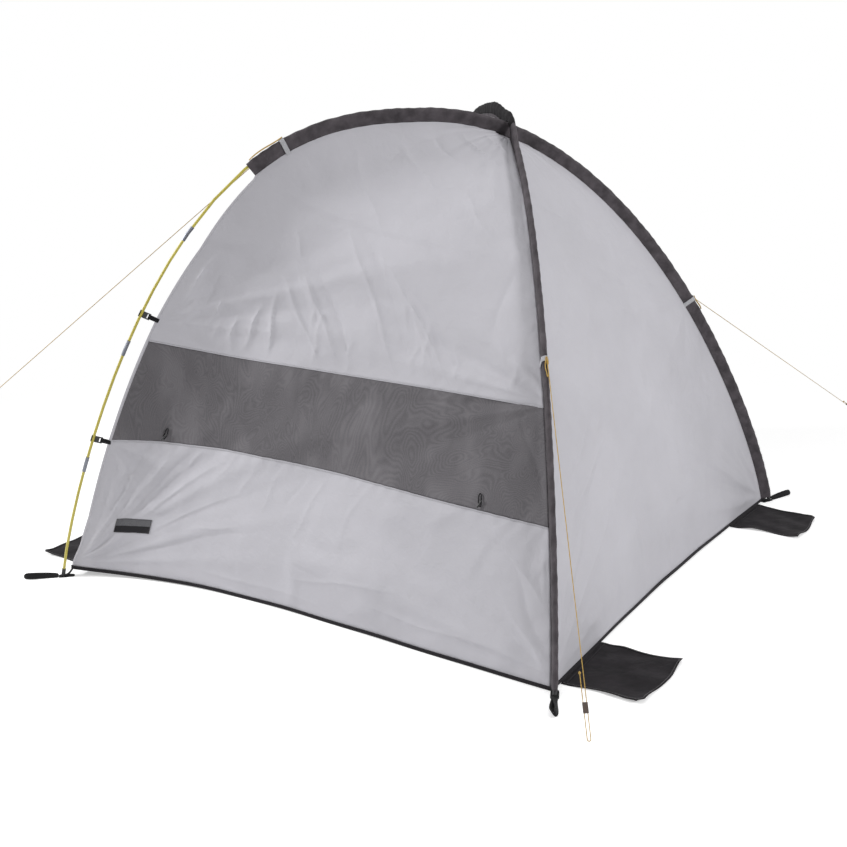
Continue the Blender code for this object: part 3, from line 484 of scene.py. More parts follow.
def raised(tree, shader, height, strength, distance, before=None):
    """Bump on a shader, on top of an earlier bump."""
    made = add(tree, "ShaderNodeBump", Height=height, Strength=strength, Distance=distance)
    if before is not None:
        tree.links.new(before.outputs[0], made.inputs["Normal"])
    tree.links.new(made.outputs[0], shader.inputs["Normal"])
    return made


def tinted(colour, factor):
    """A colour made lighter or darker."""
    return tuple(min(1.0, part * factor) for part in colour)


def weave(tree, per_metre):
    """Over-and-under threads: the product of bands along and across the cloth's own UVs."""
    place = places(tree, by_uv=True)
    warp = waves(tree, place, per_metre, "X")
    weft = waves(tree, place, per_metre, "Y")
    return maths(tree, "MULTIPLY", warp, weft)


def cloth(name, colour, roughness=0.72, sheen=0.12, spread=0.06, creases=0.35, per_metre=900.0, cloud=2.6):
    """Thin coated cloth: fine weave, soft crumples in its bump, and faint cloudy changes of tone."""
    made, tree, shader = finish_of(name, roughness, sheen=sheen, shine=0.16)
    place = places(tree)
    tone = noise(tree, place, cloud, 4.0, 0.55)
    coloured(tree, shader, tone, ((0.3, tinted(colour, 1 - spread)), (0.7, tinted(colour, 1 + spread))))
    threads = raised(tree, shader, weave(tree, per_metre), 0.12, 0.0003)
    crumple = noise(tree, place, 7.0, 3.0, 0.5, 0.6, "RIDGED_MULTIFRACTAL")
    folds = raised(tree, shader, crumple, creases, 0.016, threads)
    fine = noise(tree, place, 34.0, 2.0, 0.5, 0.4)
    raised(tree, shader, fine, creases * 0.5, 0.006, folds)
    roughened(tree, shader, noise(tree, place, 18.0, 2.0), roughness - 0.06, roughness + 0.06)
    return made


def window_cloth():
    """Fine dark mesh whose threads beat into wood-grain bands, with open dots between the threads."""
    made, tree, shader = finish_of("window_mesh", 0.8, sheen=0.02, shine=0.12)
    place = places(tree)
    wander = noise(tree, places(tree, (1.0, 1.0, 0.6)), 4.2, 2.5, 0.5, 0.8)
    grain = maths(tree, "SINE", maths(tree, "MULTIPLY", wander, 430.0))
    slow = noise(tree, places(tree, (1.0, 1.0, 0.4)), 5.0, 3.0, 0.5)
    coarse = maths(tree, "SINE", maths(tree, "MULTIPLY", slow, 22.0))
    both = blend(tree, grain, 0.30, coarse, 0.5)
    speck = noise(tree, place, 420.0, 1.0)
    value = blend(tree, both, 0.26, speck, 0.4)
    value = maths(tree, "ADD", value, 0.3)
    coloured(tree, shader, value, ((0.1, (0.092, 0.087, 0.094)), (0.9, (0.205, 0.196, 0.208))))
    threads = raised(tree, shader, weave(tree, 1400.0), 0.25, 0.0003)
    raised(tree, shader, noise(tree, place, 9.0, 2.0), 0.2, 0.003, threads)
    return made


def webbing(name, colour, ribs_per_metre=900.0, sheen=0.2):
    """Woven strap: ribs across it, a herringbone of two slanting bands, and fuzz."""
    made, tree, shader = finish_of(name, 0.85, sheen=sheen, shine=0.2)
    slant = places(tree, turn=(0.0, 0.0, 0.8), by_uv=True)
    ribs = waves(tree, places(tree, by_uv=True), ribs_per_metre, "Y")
    twill = waves(tree, slant, ribs_per_metre * 0.7, "X")
    both = maths(tree, "MULTIPLY", ribs, twill)
    fuzz = noise(tree, places(tree), 240.0, 2.0)
    tone = blend(tree, both, 0.6, fuzz, 0.4)
    coloured(tree, shader, tone, ((0.15, tinted(colour, 0.7)), (0.8, tinted(colour, 1.35))))
    first = raised(tree, shader, both, 0.5, 0.0004)
    raised(tree, shader, fuzz, 0.15, 0.0005, first)
    return made


def moulded(name, colour, roughness=0.45):
    """Moulded plastic: fine spark texture and rubbed, lighter places."""
    made, tree, shader = finish_of(name, roughness)
    place = places(tree)
    rubbed = noise(tree, place, 60.0, 4.0, 0.6)
    coloured(tree, shader, rubbed, ((0.35, colour), (0.75, tinted(colour, 1.7))))
    grain = noise(tree, place, 900.0, 2.0)
    raised(tree, shader, grain, 0.2, 0.0002)
    roughened(tree, shader, rubbed, roughness - 0.08, roughness + 0.12)
    return made


def fibreglass():
    """Olive-yellow pultruded rod: long faint fibres, a clear resin coat and small scuffs."""
    made, tree, shader = finish_of("olive_fibreglass", 0.34, coat=0.25)
    place = places(tree)
    fibres = noise(tree, places(tree, (60.0, 60.0, 2.5)), 6.0, 3.0, 0.6)
    cloud = noise(tree, place, 3.0, 2.0)
    tone = blend(tree, fibres, 0.5, cloud, 0.5)
    stops = ((0.3, (0.36, 0.30, 0.035)), (0.5, (0.47, 0.40, 0.055)), (0.72, (0.60, 0.53, 0.11)))
    coloured(tree, shader, tone, stops)
    scuffs = noise(tree, place, 140.0, 4.0, 0.7)
    roughened(tree, shader, scuffs, 0.26, 0.5)
    raised(tree, shader, fibres, 0.1, 0.0003)
    return made


def metal(name, colour, roughness=0.32):
    """Drawn metal: fine lengthwise lines, and duller spots."""
    made, tree, shader = finish_of(name, roughness, metallic=1.0)
    place = places(tree)
    lines = noise(tree, places(tree, (1.0, 1.0, 0.03)), 900.0, 2.0, 0.6)
    spots = noise(tree, place, 70.0, 3.0)
    tone = blend(tree, lines, 0.4, spots, 0.6)
    coloured(tree, shader, tone, ((0.3, tinted(colour, 0.8)), (0.7, tinted(colour, 1.1))))
    roughened(tree, shader, spots, roughness - 0.08, roughness + 0.16)
    raised(tree, shader, lines, 0.12, 0.0002)
    return made


def braided(name, colour, dark):
    """Braided cord: two families of slanting strands on its own UVs, with painted shade in the valleys
    between strands, and fuzz.
    """
    made, tree, shader = finish_of(name, 0.8, sheen=0.25)
    one = waves(tree, places(tree, turn=(0.0, 0.0, 0.75), by_uv=True), STRANDS_PER_METRE, "X")
    two = waves(tree, places(tree, turn=(0.0, 0.0, -0.75), by_uv=True), STRANDS_PER_METRE, "X")
    both = maths(tree, "MAXIMUM", one, two)
    fuzz = noise(tree, places(tree), 700.0, 2.0)
    tone = blend(tree, both, 0.7, fuzz, 0.3)
    # Painted shade: the valleys between strands take the darker colour
    coloured(tree, shader, tone, ((0.2, dark), (0.75, colour)))
    raised(tree, shader, both, 0.5, 0.0004)
    return made


def stitched(name, colour, thread):
    """Stitches: short raised dashes of thread along the piece's own length, with painted shade in the gaps
    between them.
    """
    made, tree, shader = finish_of(name, 0.7, sheen=0.2)
    dash = waves(tree, places(tree, by_uv=True), STITCHES_PER_METRE, "Y")
    # Painted shade: the gaps between dashes take the first, darker colour
    coloured(tree, shader, dash, ((0.3, colour), (0.45, thread)))
    twist = waves(tree, places(tree, turn=(0.0, 0.0, 0.6), by_uv=True), STITCHES_PER_METRE * 4.0, "X")
    first = raised(tree, shader, dash, 0.6, 0.0004)
    raised(tree, shader, twist, 0.2, 0.0002, first)
    return made


WALL = (0.505, 0.497, 0.533)
wall_look = cloth("wall_cloth", WALL, sheen=0.05, creases=0.6)
edge_look = cloth("edge_cloth", tinted(WALL, 0.90), sheen=0.05, creases=0.2)
tape_look = webbing("grey_tape", (0.46, 0.46, 0.48), 1100.0, 0.1)
sleeve_look = cloth("sleeve_cloth", (0.066, 0.058, 0.064), 0.72, 0.03, 0.42, 1.0, cloud=26.0)
flap_look = cloth("flap_cloth", (0.017, 0.015, 0.017), 0.8, 0.01, 0.4, 1.0, cloud=16.0)
# Near-black cloth that paints the shade on the upper sleeve's top where the poles cross
crossing_shade_look = cloth("crossing_shade_cloth", (0.006, 0.005, 0.006), 0.8, 0.0, 0.3, 0.4)
sheet_look = cloth("groundsheet_cloth", (0.050, 0.050, 0.054), 0.6, 0.08, 0.12, 0.4, 700.0)
piping_look = webbing("piping_webbing", (0.020, 0.018, 0.021), 700.0, 0.04)
strap_look = webbing("black_webbing", (0.009, 0.009, 0.010), sheen=0.03)
window_look = window_cloth()
clip_look = moulded("black_plastic", (0.013, 0.013, 0.014))
runner_look = moulded("brown_plastic", (0.042, 0.026, 0.018), 0.4)
pole_look = fibreglass()
ferrule_look = metal("ferrule_metal", (0.20, 0.21, 0.24))
eyelet_look = metal("eyelet_metal", (0.62, 0.60, 0.56), 0.25)
# Each cord's second colour is painted shade for the valleys between its strands
line_look = braided("guy_cord", (0.52, 0.33, 0.06), (0.22, 0.13, 0.03))
elastic_look = braided("shock_cord", (0.62, 0.62, 0.62), (0.3, 0.3, 0.3))
# Each thread's first colour is painted shade for the gaps between its stitches
grey_thread = stitched("grey_thread", tinted(WALL, 0.45), tinted(WALL, 1.0))
dark_thread = stitched("dark_thread", (0.02, 0.018, 0.02), (0.10, 0.095, 0.10))


# Guy lines


def tube(name, path, radius, look, sides=12, up=UP, closed=False):
    """A round tube of even radius along a path."""
    return swept(name, path, ring(radius, sides), look, up, closed, 180.0)


def guy_route(owner, name):
    """The line from its tape to a turn on the ground and its tail back up beside it, as in the part's source.

    The tail goes on by KNOT_ROOM, so that its knot stands clear above the runner at the top of its slide.
    """
    line = POLES[owner]
    station = TAPES["front"] if name.startswith("front") else LENGTH - TAPES["back"]
    point, along, outward = (read(line, what, station) for what in ("point", "along", "outward"))
    end = np.array((*GUY_ENDS[name], LINE_RADIUS * 2))
    pull = unit(end - point - along * np.dot(end - point, along))
    start = point + unit(pull + outward) * 0.0101
    uphill = unit(start - end)
    level = unit(np.cross(UP, uphill))
    low = end + uphill * LINE_TURN
    straight = start + (low - start) * np.linspace(0, 1, 60)[:, None]
    angle = np.linspace(0, math.pi, 13)[1:, None]
    bend = low + level * LINE_TURN - level * LINE_TURN * np.cos(angle) - uphill * LINE_TURN * np.sin(angle)
    tail = bend[-1] + uphill * (LINE_TAIL + KNOT_ROOM) * np.linspace(0, 1, 13)[1:, None]
    return np.vstack((straight, bend, tail)), start, end, uphill, level


def coil(middle, axis, turns, radius, rise):
    """A helix about an axis: radius, and how far it climbs in all."""
    angle = np.linspace(0, 2 * math.pi * turns, int(14 * turns) + 1)[:, None]
    first = unit(np.cross(axis, UP + 0.01))
    second = np.cross(axis, first)
    share = angle / angle[-1]
    ring_round = first * np.cos(angle) + second * np.sin(angle)
    return middle + ring_round * radius + axis * rise * (share - 0.5)


guy_owners = {"front_left": "left", "back_left": "right", "front_right": "right", "back_right": "left"}
for name, owner in guy_owners.items():
    route, start, end, uphill, level = guy_route(owner, name)
    rope = tube(f"{name}_cord", route, LINE_RADIUS, line_look, 10)
    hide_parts(f"{name}_guy_line")
    tied = coil(start - uphill * 0.010, uphill, 5, 0.0021, 0.011)
    bind = tube(f"{name}_cord_knot", tied, KNOT_RADIUS, line_look, 8)
    stopped = coil(route[-1] - uphill * 0.004, uphill, 2.4, 0.0018, 0.004)
    stop = tube(f"{name}_tail_knot", stopped, KNOT_RADIUS, line_look, 8)
    carry("tent", (rope, bind, stop))


# Walls


def rear_station(front):
    """The row's length from the back foot, for its length from the front foot."""
    return np.interp(front, (0.0, *BAND_FRONT, FRONT_TOP), (0.0, *BAND_BACK, BACK_TOP))


def front_gap(station):
    """Distance of the cloth's front edge from the pole: the door's edge, then the sleeve's seam."""
    return np.interp(station, (*DOOR_STATIONS, SLEEVE_START + 0.02), (*DOOR_GAPS, SEAM_DEPTH))


def fan(x, y, root, rays):
    """Creases that run out of a point.

    They are the sum of height exp(-((angle - ray) / width)^2) (r / reach) exp(1 - r / reach).
    """
    dx, dy = x - root[0], y - root[1]
    r = np.hypot(dx, dy)
    angle = np.degrees(np.arctan2(dy, dx))
    total = np.zeros_like(r)
    for ray, width, reach, height in rays:
        total += height * bump(angle, ray, width) * (r / reach) * np.exp(1 - r / reach)
    return total


def side_creases(front, share):
    """Height of a side wall's folds over its smooth form, with x along the row and y up the door."""
    x, y = share * (SIDE_ROW - SIDE_TAPER * front), front
    total = fan(x, y, (0.0, 0.02), SHOE_RAYS)
    total += fan(x, y, (0.0, LOWER_CLIP), LOWER_CLIP_RAYS)
    total += fan(x, y, (0.0, UPPER_CLIP), UPPER_CLIP_RAYS)
    total += fan(x, y, (1.60, 0.05), NEAR_RAYS)
    total += fan(x, y, (1.10, 0.78), TAPE_RAYS)
    total += 1.8 * pleats(x, y, UPPER_PLEATS) + pleats(x, y, LOWER_PLEATS) + pleats(x, y, WINDOW_PLEATS)
    near_band = np.exp(-np.abs(front - BAND_FRONT[1]) / 0.035)
    near_band += np.exp(-np.abs(front - BAND_FRONT[0]) / 0.03)
    total += 0.0011 * near_band * np.sin(150.0 * x + 2.2 * np.sin(9.0 * x)) * (0.6 + 0.4 * np.sin(17.0 * x))
    above_door = smooth(front, SLEEVE_START - 0.05, SLEEVE_START)
    edge = np.exp(-(1 - share) / 0.035) + np.exp(-share / 0.03) * above_door
    total += 0.0007 * edge * np.sin(120.0 * y + 2.0 * np.sin(11.0 * y))
    crown = smooth(front, 1.45, 1.95)
    total += 0.0016 * crown * np.sin(38.0 * share + 5.0 * y) * (0.5 + 0.5 * np.sin(23.0 * share + 9.0 * y))
    total += 0.0016 * np.sin(5.2 * x + 3.1 * y + 0.8) * np.sin(2.3 * x - 6.0 * y + 0.4)
    hold = smooth(share, 0.0, 0.03) * smooth(1 - share, 0.0, 0.02)
    flat = 1 - 0.9 * np.exp(-(((x - 0.138) / 0.075) ** 4) - ((y - LABEL_FRONT) / LABEL_HEIGHT) ** 4)
    return total * hold * flat


def pleats(x, y, lines):
    """Creases along straight runs, each from one place to another with its height and width.

    They are the sum of 1.5 height exp(-|distance| / (0.75 width)) 4 t (1 - t), with t the share along
    the run.
    """
    total = np.zeros_like(x)
    for x0, y0, x1, y1, height, width in lines:
        run = np.hypot(x1 - x0, y1 - y0)
        t = ((x - x0) * (x1 - x0) + (y - y0) * (y1 - y0)) / run**2
        off = ((x - x0) * (y1 - y0) - (y - y0) * (x1 - x0)) / run
        off = off + 0.003 * np.sin(9.0 * t + 40.0 * x0)
        total += height * 1.5 * np.exp(-np.abs(off) / (0.75 * width)) * np.clip(4 * t * (1 - t), 0, 1)
    return total


UPPER_PLEATS = (
    (0.24, 1.31, 0.66, 0.80, 0.0036, 0.011), (0.29, 1.30, 0.72, 0.80, -0.0024, 0.012),
    (0.387, 1.22, 0.835, 0.77, 0.0034, 0.010), (0.43, 1.20, 0.88, 0.77, -0.0020, 0.012),
    (0.215, 1.136, 0.495, 0.81, 0.0036, 0.010), (0.183, 1.098, 0.445, 0.80, 0.0034, 0.009),
    (0.25, 1.15, 0.556, 0.79, -0.0024, 0.011), (0.495, 1.12, 0.784, 0.78, 0.0022, 0.009),
    (0.198, 0.98, 0.233, 0.79, 0.0028, 0.008), (0.208, 1.03, 0.306, 0.78, 0.0030, 0.009),
    (0.159, 0.92, 0.198, 0.78, 0.0022, 0.008), (0.13, 0.90, 0.150, 0.78, 0.0016, 0.008),
    (0.040, 1.10, 0.036, 0.85, 0.0020, 0.007), (0.070, 1.05, 0.085, 0.84, -0.0014, 0.009),
    (0.14, 1.25, 0.238, 1.12, 0.0018, 0.009), (0.35, 1.00, 0.43, 0.79, 0.0018, 0.008),
    (0.60, 1.05, 0.74, 0.79, 0.0016, 0.009), (0.02, 1.93, 0.25, 1.82, 0.0022, 0.010),
    (0.02, 2.01, 0.22, 1.92, 0.0020, 0.009), (0.01, 1.86, 0.20, 1.74, -0.0016, 0.010),
    (0.30, 1.62, 0.52, 1.40, 0.0012, 0.012), (0.33, 1.28, 0.60, 0.92, 0.0014, 0.007),
    (0.45, 1.16, 0.66, 0.88, 0.0014, 0.007), (0.27, 1.08, 0.40, 0.86, 0.0014, 0.006),
    (0.10, 1.02, 0.125, 0.79, 0.0016, 0.006), (0.055, 0.98, 0.060, 0.79, 0.0014, 0.006),
    (0.17, 1.18, 0.33, 0.98, 0.0014, 0.007), (0.64, 0.93, 0.70, 0.79, 0.0014, 0.006),
    (0.72, 0.96, 0.83, 0.79, 0.0014, 0.007), (0.88, 0.95, 0.97, 0.79, 0.0012, 0.007),
    (0.06, 1.72, 0.30, 1.55, 0.0012, 0.008), (0.04, 1.60, 0.34, 1.30, 0.0012, 0.009),
    (0.62, 1.34, 0.82, 0.92, -0.0014, 0.014), (0.78, 1.02, 0.97, 0.80, 0.0014, 0.010),
    (0.47, 0.92, 0.53, 0.79, 0.0016, 0.008),
)
LOWER_PLEATS = (
    (0.016, 0.03, 0.13, 0.46, 0.0030, 0.008), (0.016, 0.03, 0.05, 0.45, -0.0018, 0.007),
    (0.016, 0.03, 0.34, 0.42, 0.0034, 0.011), (0.016, 0.03, 0.24, 0.44, -0.0024, 0.010),
    (0.016, 0.03, 0.46, 0.33, 0.0028, 0.013), (0.016, 0.03, 0.55, 0.20, -0.0018, 0.014),
    (0.016, 0.03, 0.09, 0.45, 0.0018, 0.005), (0.016, 0.03, 0.17, 0.45, -0.0016, 0.005),
    (0.016, 0.03, 0.20, 0.44, 0.0018, 0.006), (0.016, 0.03, 0.28, 0.43, -0.0016, 0.006),
    (0.10, 0.16, 0.24, 0.30, 0.0012, 0.005), (0.30, 0.16, 0.48, 0.20, 0.0014, 0.006),
    (0.15, 0.30, 0.18, 0.46, 0.0016, 0.005), (0.22, 0.34, 0.27, 0.46, 0.0014, 0.005),
    (0.34, 0.35, 0.37, 0.46, 0.0014, 0.005), (0.51, 0.44, 0.52, 0.24, 0.0016, 0.009),
    (0.60, 0.44, 0.58, 0.26, -0.0014, 0.009), (0.655, 0.44, 0.66, 0.20, 0.0020, 0.009),
    (0.78, 0.44, 0.79, 0.24, 0.0018, 0.009), (0.44, 0.43, 0.42, 0.28, 0.0014, 0.008),
    (0.70, 0.09, 1.06, 0.15, 0.0026, 0.009), (0.96, 0.08, 1.42, 0.075, 0.0028, 0.009),
    (0.36, 0.05, 0.86, 0.045, 0.0016, 0.008), (0.60, 0.13, 0.95, 0.11, -0.0014, 0.010),
    (1.15, 0.42, 1.48, 0.20, 0.0028, 0.010), (1.30, 0.42, 1.55, 0.08, 0.0028, 0.009),
    (1.60, 0.03, 1.30, 0.24, 0.0026, 0.011), (1.60, 0.03, 1.20, 0.09, -0.0020, 0.011),
    (1.22, 0.38, 1.50, 0.12, -0.0020, 0.011), (1.43, 0.42, 1.56, 0.20, 0.0018, 0.008),
)
WINDOW_PLEATS = (
    (0.90, 0.76, 1.20, 0.46, 0.0032, 0.014), (1.00, 0.76, 1.28, 0.47, -0.0024, 0.014),
    (0.80, 0.76, 1.10, 0.46, 0.0024, 0.014), (0.62, 0.76, 0.80, 0.45, 0.0016, 0.012),
    (0.10, 0.76, 0.16, 0.45, 0.0018, 0.010), (0.24, 0.76, 0.30, 0.45, 0.0014, 0.010),
    (0.42, 0.76, 0.50, 0.45, -0.0014, 0.012), (1.12, 0.72, 1.34, 0.50, 0.0024, 0.012),
)
SHOE_RAYS = (
    (22, 3.5, 0.45, 0.004), (33, 3.0, 0.40, -0.003), (44, 3.5, 0.42, 0.005), (54, 2.6, 0.35, -0.003),
    (63, 3.0, 0.36, 0.004), (74, 3.0, 0.30, -0.003), (9, 3.0, 0.6, 0.003),
)
LOWER_CLIP_RAYS = (
    (-22, 5.0, 0.28, 0.003), (-38, 4.0, 0.26, -0.003), (-50, 4.0, 0.25, 0.004), (-64, 4.0, 0.25, -0.002),
    (14, 6.0, 0.2, 0.002),
)
UPPER_CLIP_RAYS = (
    (12, 5.0, 0.3, 0.003), (28, 5.0, 0.3, -0.003), (42, 4.5, 0.3, 0.004), (60, 5.0, 0.3, -0.003),
    (-25, 6.0, 0.2, 0.002),
)
NEAR_RAYS = (
    (172, 3.0, 0.5, 0.004), (160, 3.5, 0.45, -0.003), (148, 4.0, 0.4, 0.004), (130, 4.5, 0.4, -0.003),
    (112, 4.0, 0.4, 0.003),
)
TAPE_RAYS = (
    (170, 4.0, 0.35, 0.004), (158, 3.5, 0.4, -0.004), (147, 4.0, 0.4, 0.005), (-170, 4.0, 0.3, -0.004),
    (-156, 5.0, 0.35, 0.005), (-140, 5.0, 0.3, -0.003),
)


def inward_of(start, end, station):
    """The way from each row's middle to the tent's middle, square to the row, and level at the ground."""
    middle = (start + end) / 2
    centre = middle * 0 + ARCH_CENTRE
    centre[..., 2] = middle[..., 2] + (ARCH_CENTRE[2] - middle[..., 2]) * smooth(station, 0.0, 0.2)
    chord = unit(end - start)
    inward = centre - middle
    return unit(inward - chord * np.sum(inward * chord, axis=-1, keepdims=True))


def side_wall(owner, front, share, proud=0.0):
    """Points of a side wall: front runs up the front pole in metres, and share from 0 to 1 toward the back.

    The row runs straight from the door edge or front seam to the back seam, and bows toward the tent's
    middle by 0.102 (1 - (front / top)^2) sin(pi share 2.2 / (1 + 1.2 share)). Folds are added to it.
    """
    pole = POLES[owner]
    other = POLES["right" if owner == "left" else "left"]
    gap = front_gap(front)[..., None]
    start = read(pole, "point", front) - read(pole, "outward", front) * gap
    end = seam(other, LENGTH - np.maximum(rear_station(front), SLEEVE_FOOT))
    foot_start = float(read(pole, "point", 0.0)[2] - read(pole, "outward", 0.0)[2] * DOOR_GAPS[0])
    foot_end = float(seam(other, LENGTH - SLEEVE_FOOT)[2])
    low = 1 - smooth(front, 0.0, 0.12)
    start[..., 2] += (BASE + CORNER_LIFT - foot_start) * low
    end[..., 2] += (BASE - foot_end) * low
    inward = inward_of(start, end, front)
    depth = SIDE_BOW * (1 - (front / FRONT_TOP) ** 2)
    shape = np.sin(math.pi * share * (1 + SIDE_BOW_LEAN) / (1 + SIDE_BOW_LEAN * share))
    sag = CORNER_LIFT * (np.exp(-share / 0.10) - (1 - share)) * low
    point = start + (end - start) * share[..., None] + inward * (depth * shape)[..., None]
    point[..., 2] += sag
    crease = side_creases(front, share) * smooth(front, 0.0, 0.03)
    return point - inward * (crease + proud)[..., None]


def band_edge(share, top):
    """The window's upper or lower edge, which bows up a little between the seams."""
    if top:
        return BAND_FRONT[1] + 0.014 * np.sin(math.pi * share ** 0.8)
    return BAND_FRONT[0] + 0.009 * np.sin(math.pi * share ** 0.6)


def between(owner, low, high, rows, columns):
    """A grid of a side wall between two lines given as functions of the share."""
    share = np.linspace(WALL_MARGIN, 1 - WALL_MARGIN, columns)
    level = np.linspace(0, 1, rows)[:, None]
    shares = np.broadcast_to(share, (rows, columns))
    front = low(share) * (1 - level) + high(share) * level
    return side_wall(owner, front, shares)


def strip_on(owner, name, stations, shares, width, look, proud, thickness=0.0008):
    """A narrow strip that lies on a side wall along a line of stations and shares."""
    line = side_wall(owner, stations, shares, proud)
    lifted_line = side_wall(owner, stations, shares, proud + 0.01)
    return swept(name, line, strap_profile(width, thickness), look, lifted_line - line)


for owner in ("left", "right"):
    lower = between(owner, lambda s: s * 0.0, lambda s: band_edge(s, False), 110, 260)
    window = between(owner, lambda s: band_edge(s, False), lambda s: band_edge(s, True), 60, 260)
    upper = between(owner, lambda s: band_edge(s, True), lambda s: s * 0 + FRONT_TOP, 220, 215)
    for name, grid in (("wall_lower", lower), ("window_mesh", window), ("wall_upper", upper)):
        look = window_look if name == "window_mesh" else wall_look
        piece = sheet_piece(f"{owner}_{name}_cloth", grid, look, WALL_CLOTH)
        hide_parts(f"{owner}_{name}")
        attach(piece, "tent")
    share = np.linspace(0.004, 0.996, 240)
    trim = []
    for side, top in (("lower", False), ("upper", True)):
        shift = -0.0035 if side == "lower" else 0.0035
        rows = band_edge(share, top) + shift
        label = f"{owner}_window_{side}"
        trim.append(strip_on(owner, f"{label}_seam", rows, share, 0.007, edge_look, 0.0006))
        trim.append(strip_on(owner, f"{label}_stitch", rows, share, 0.0012, grey_thread, 0.0013, 0.0006))
    carry("tent", trim)


# Back wall and roof


def back_wall_point(rear, share):
    """Points of the back wall: rows from seam to seam, bowed toward the middle by 0.022 sin(pi share)."""
    start = seam(right_pole, LENGTH - np.maximum(rear, SLEEVE_FOOT))
    low = 1 - smooth(rear, 0.0, 0.12)
    foot = float(seam(right_pole, LENGTH - SLEEVE_FOOT)[2])
    start[..., 2] += (BASE - foot) * low
    end = start * MIRROR
    inward = inward_of(start, end, rear)
    depth = BACK_BOW * (1 - (rear / BACK_TOP) ** 2)
    width = BACK_ROW - BACK_TAPER * rear
    x, y = share * width, rear
    crease = fan(x, y, (0.0, 0.03), BACK_RAYS) + fan(width - x, y, (0.0, 0.03), BACK_RAYS)
    tape = (0.0, TAPES["back"])
    crease += fan(x, y, tape, BACK_TAPE_RAYS) + fan(width - x, y, tape, BACK_TAPE_RAYS)
    crease += 1.3 * pleats(x, y, BACK_PLEATS)
    edge = np.exp(-share / 0.04) + np.exp(-(1 - share) / 0.04)
    crease += 0.0007 * edge * np.sin(115.0 * y + 2.0 * np.sin(9.0 * y))
    crease += 0.0016 * np.sin(4.4 * x + 2.2 * y) * np.sin(1.7 * x - 5.0 * y + 1.1)
    swell = 0.5 + 0.5 * np.sin(21.0 * share + 7.0 * y)
    crease += 0.0014 * smooth(rear, 1.15, 1.5) * np.sin(34.0 * share) * swell
    crease *= smooth(share, 0.0, 0.03) * smooth(1 - share, 0.0, 0.03) * smooth(rear, 0.0, 0.03)
    bulge = depth * np.sin(math.pi * share) - crease
    return start + (end - start) * share[..., None] + inward * bulge[..., None]


BACK_PLEATS = (
    (1.52, 0.03, 1.28, 0.28, 0.0026, 0.010), (1.52, 0.03, 0.98, 0.29, 0.0026, 0.010),
    (1.52, 0.03, 0.88, 0.23, -0.0018, 0.010), (1.50, 0.03, 1.16, 0.36, -0.0020, 0.010),
    (1.50, 0.03, 1.05, 0.10, 0.0020, 0.009), (0.40, 0.56, 0.10, 0.36, 0.0022, 0.012),
    (0.27, 0.62, 0.11, 0.44, 0.0018, 0.011), (0.33, 0.50, 0.08, 0.25, -0.0016, 0.011),
    (0.48, 0.38, 0.60, 0.03, 0.0020, 0.007), (0.70, 0.20, 1.00, 0.225, 0.0016, 0.006),
    (0.71, 0.19, 0.80, 0.03, 0.0018, 0.007), (0.92, 0.215, 0.64, 0.19, -0.0014, 0.007),
    (0.20, 0.34, 0.04, 0.10, 0.0022, 0.011), (0.02, 0.04, 0.36, 0.20, 0.0020, 0.012),
    (0.85, 0.30, 1.10, 0.27, 0.0014, 0.007),
)
BACK_RAYS = (
    (12, 3.5, 0.45, 0.003), (26, 3.5, 0.4, -0.003), (40, 3.5, 0.4, 0.004), (55, 3.5, 0.35, -0.003),
    (70, 3.0, 0.3, 0.003),
)
BACK_TAPE_RAYS = (
    (-30, 5.0, 0.3, 0.003), (-48, 5.0, 0.3, -0.003), (10, 5.0, 0.3, 0.003), (35, 5.0, 0.35, -0.003),
)


def roof_point(front, share):
    """Points of the roof: rows from seam to seam, with the front edge hollowed by 0.09 sin(pi share)."""
    start = seam(left_pole, front)
    end = start * MIRROR
    hollow = ROOF_BOW * (FRONT_TOP - front) / (FRONT_TOP - SLEEVE_START - 0.02)
    point = start + (end - start) * share[..., None]
    point[..., 1] += hollow * np.sin(math.pi * share)
    sag = -0.006 * np.sin(math.pi * share) * smooth(front, 1.33, 1.6)
    ripple = 0.0016 * np.sin(26.0 * share + 3.0 * front) * np.sin(9.0 * front + 5.0 * share)
    hold = smooth(share, 0.0, 0.04) * smooth(1 - share, 0.0, 0.04)
    point[..., 2] += (sag + ripple) * hold
    return point


rear, share = np.meshgrid(np.linspace(0.0, BACK_TOP, 215), np.linspace(0.002, 0.998, 215), indexing="ij")
back_grid = back_wall_point(rear, share)
back_wall = sheet_piece("back_wall_cloth", back_grid, wall_look, WALL_CLOTH)
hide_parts("back_wall")
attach(back_wall, "tent")

front = np.linspace(SLEEVE_START + 0.02, FRONT_TOP, 140)
front, share = np.meshgrid(front, np.linspace(0.003, 0.997, 200), indexing="ij")
roof_grid = roof_point(front, share)
roof = sheet_piece("roof_panel_cloth", roof_grid, wall_look, WALL_CLOTH)
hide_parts("roof_panel")
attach(roof, "tent")
share = np.linspace(0.004, 0.996, 160)
edge = roof_point(share * 0 + SLEEVE_START + 0.024, share)
roof_hem = swept("roof_hem", edge, strap_profile(*ROOF_HEM), edge_look, UP)
row = edge + np.array((0.0, 0.004, 0.0015))
stitch = swept("roof_hem_stitch", row, strap_profile(*BAR_STITCH), grey_thread, UP)
carry("tent", (roof_hem, stitch))

u, v = np.meshgrid(np.linspace(-0.08, 1.08, 30), np.linspace(-0.08, 1.08, 24))
corner_left, corner_back = seam(left_pole, FRONT_TOP), seam(right_pole, LENGTH - BACK_TOP)
patch_grid = corner_left * (1 - v[..., None]) + corner_back * v[..., None]
patch_grid = patch_grid * (MIRROR * u[..., None] + 1 - u[..., None])
middle_share = np.sin(math.pi * np.clip(u, 0, 1)) * np.sin(math.pi * np.clip(v, 0, 1))
patch_grid[..., 2] -= 0.0018 + 0.0085 * middle_share
patch = sheet_piece("crossing_patch_cloth", patch_grid, wall_look, WALL_CLOTH)
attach(patch, "tent")


# Pole sleeves


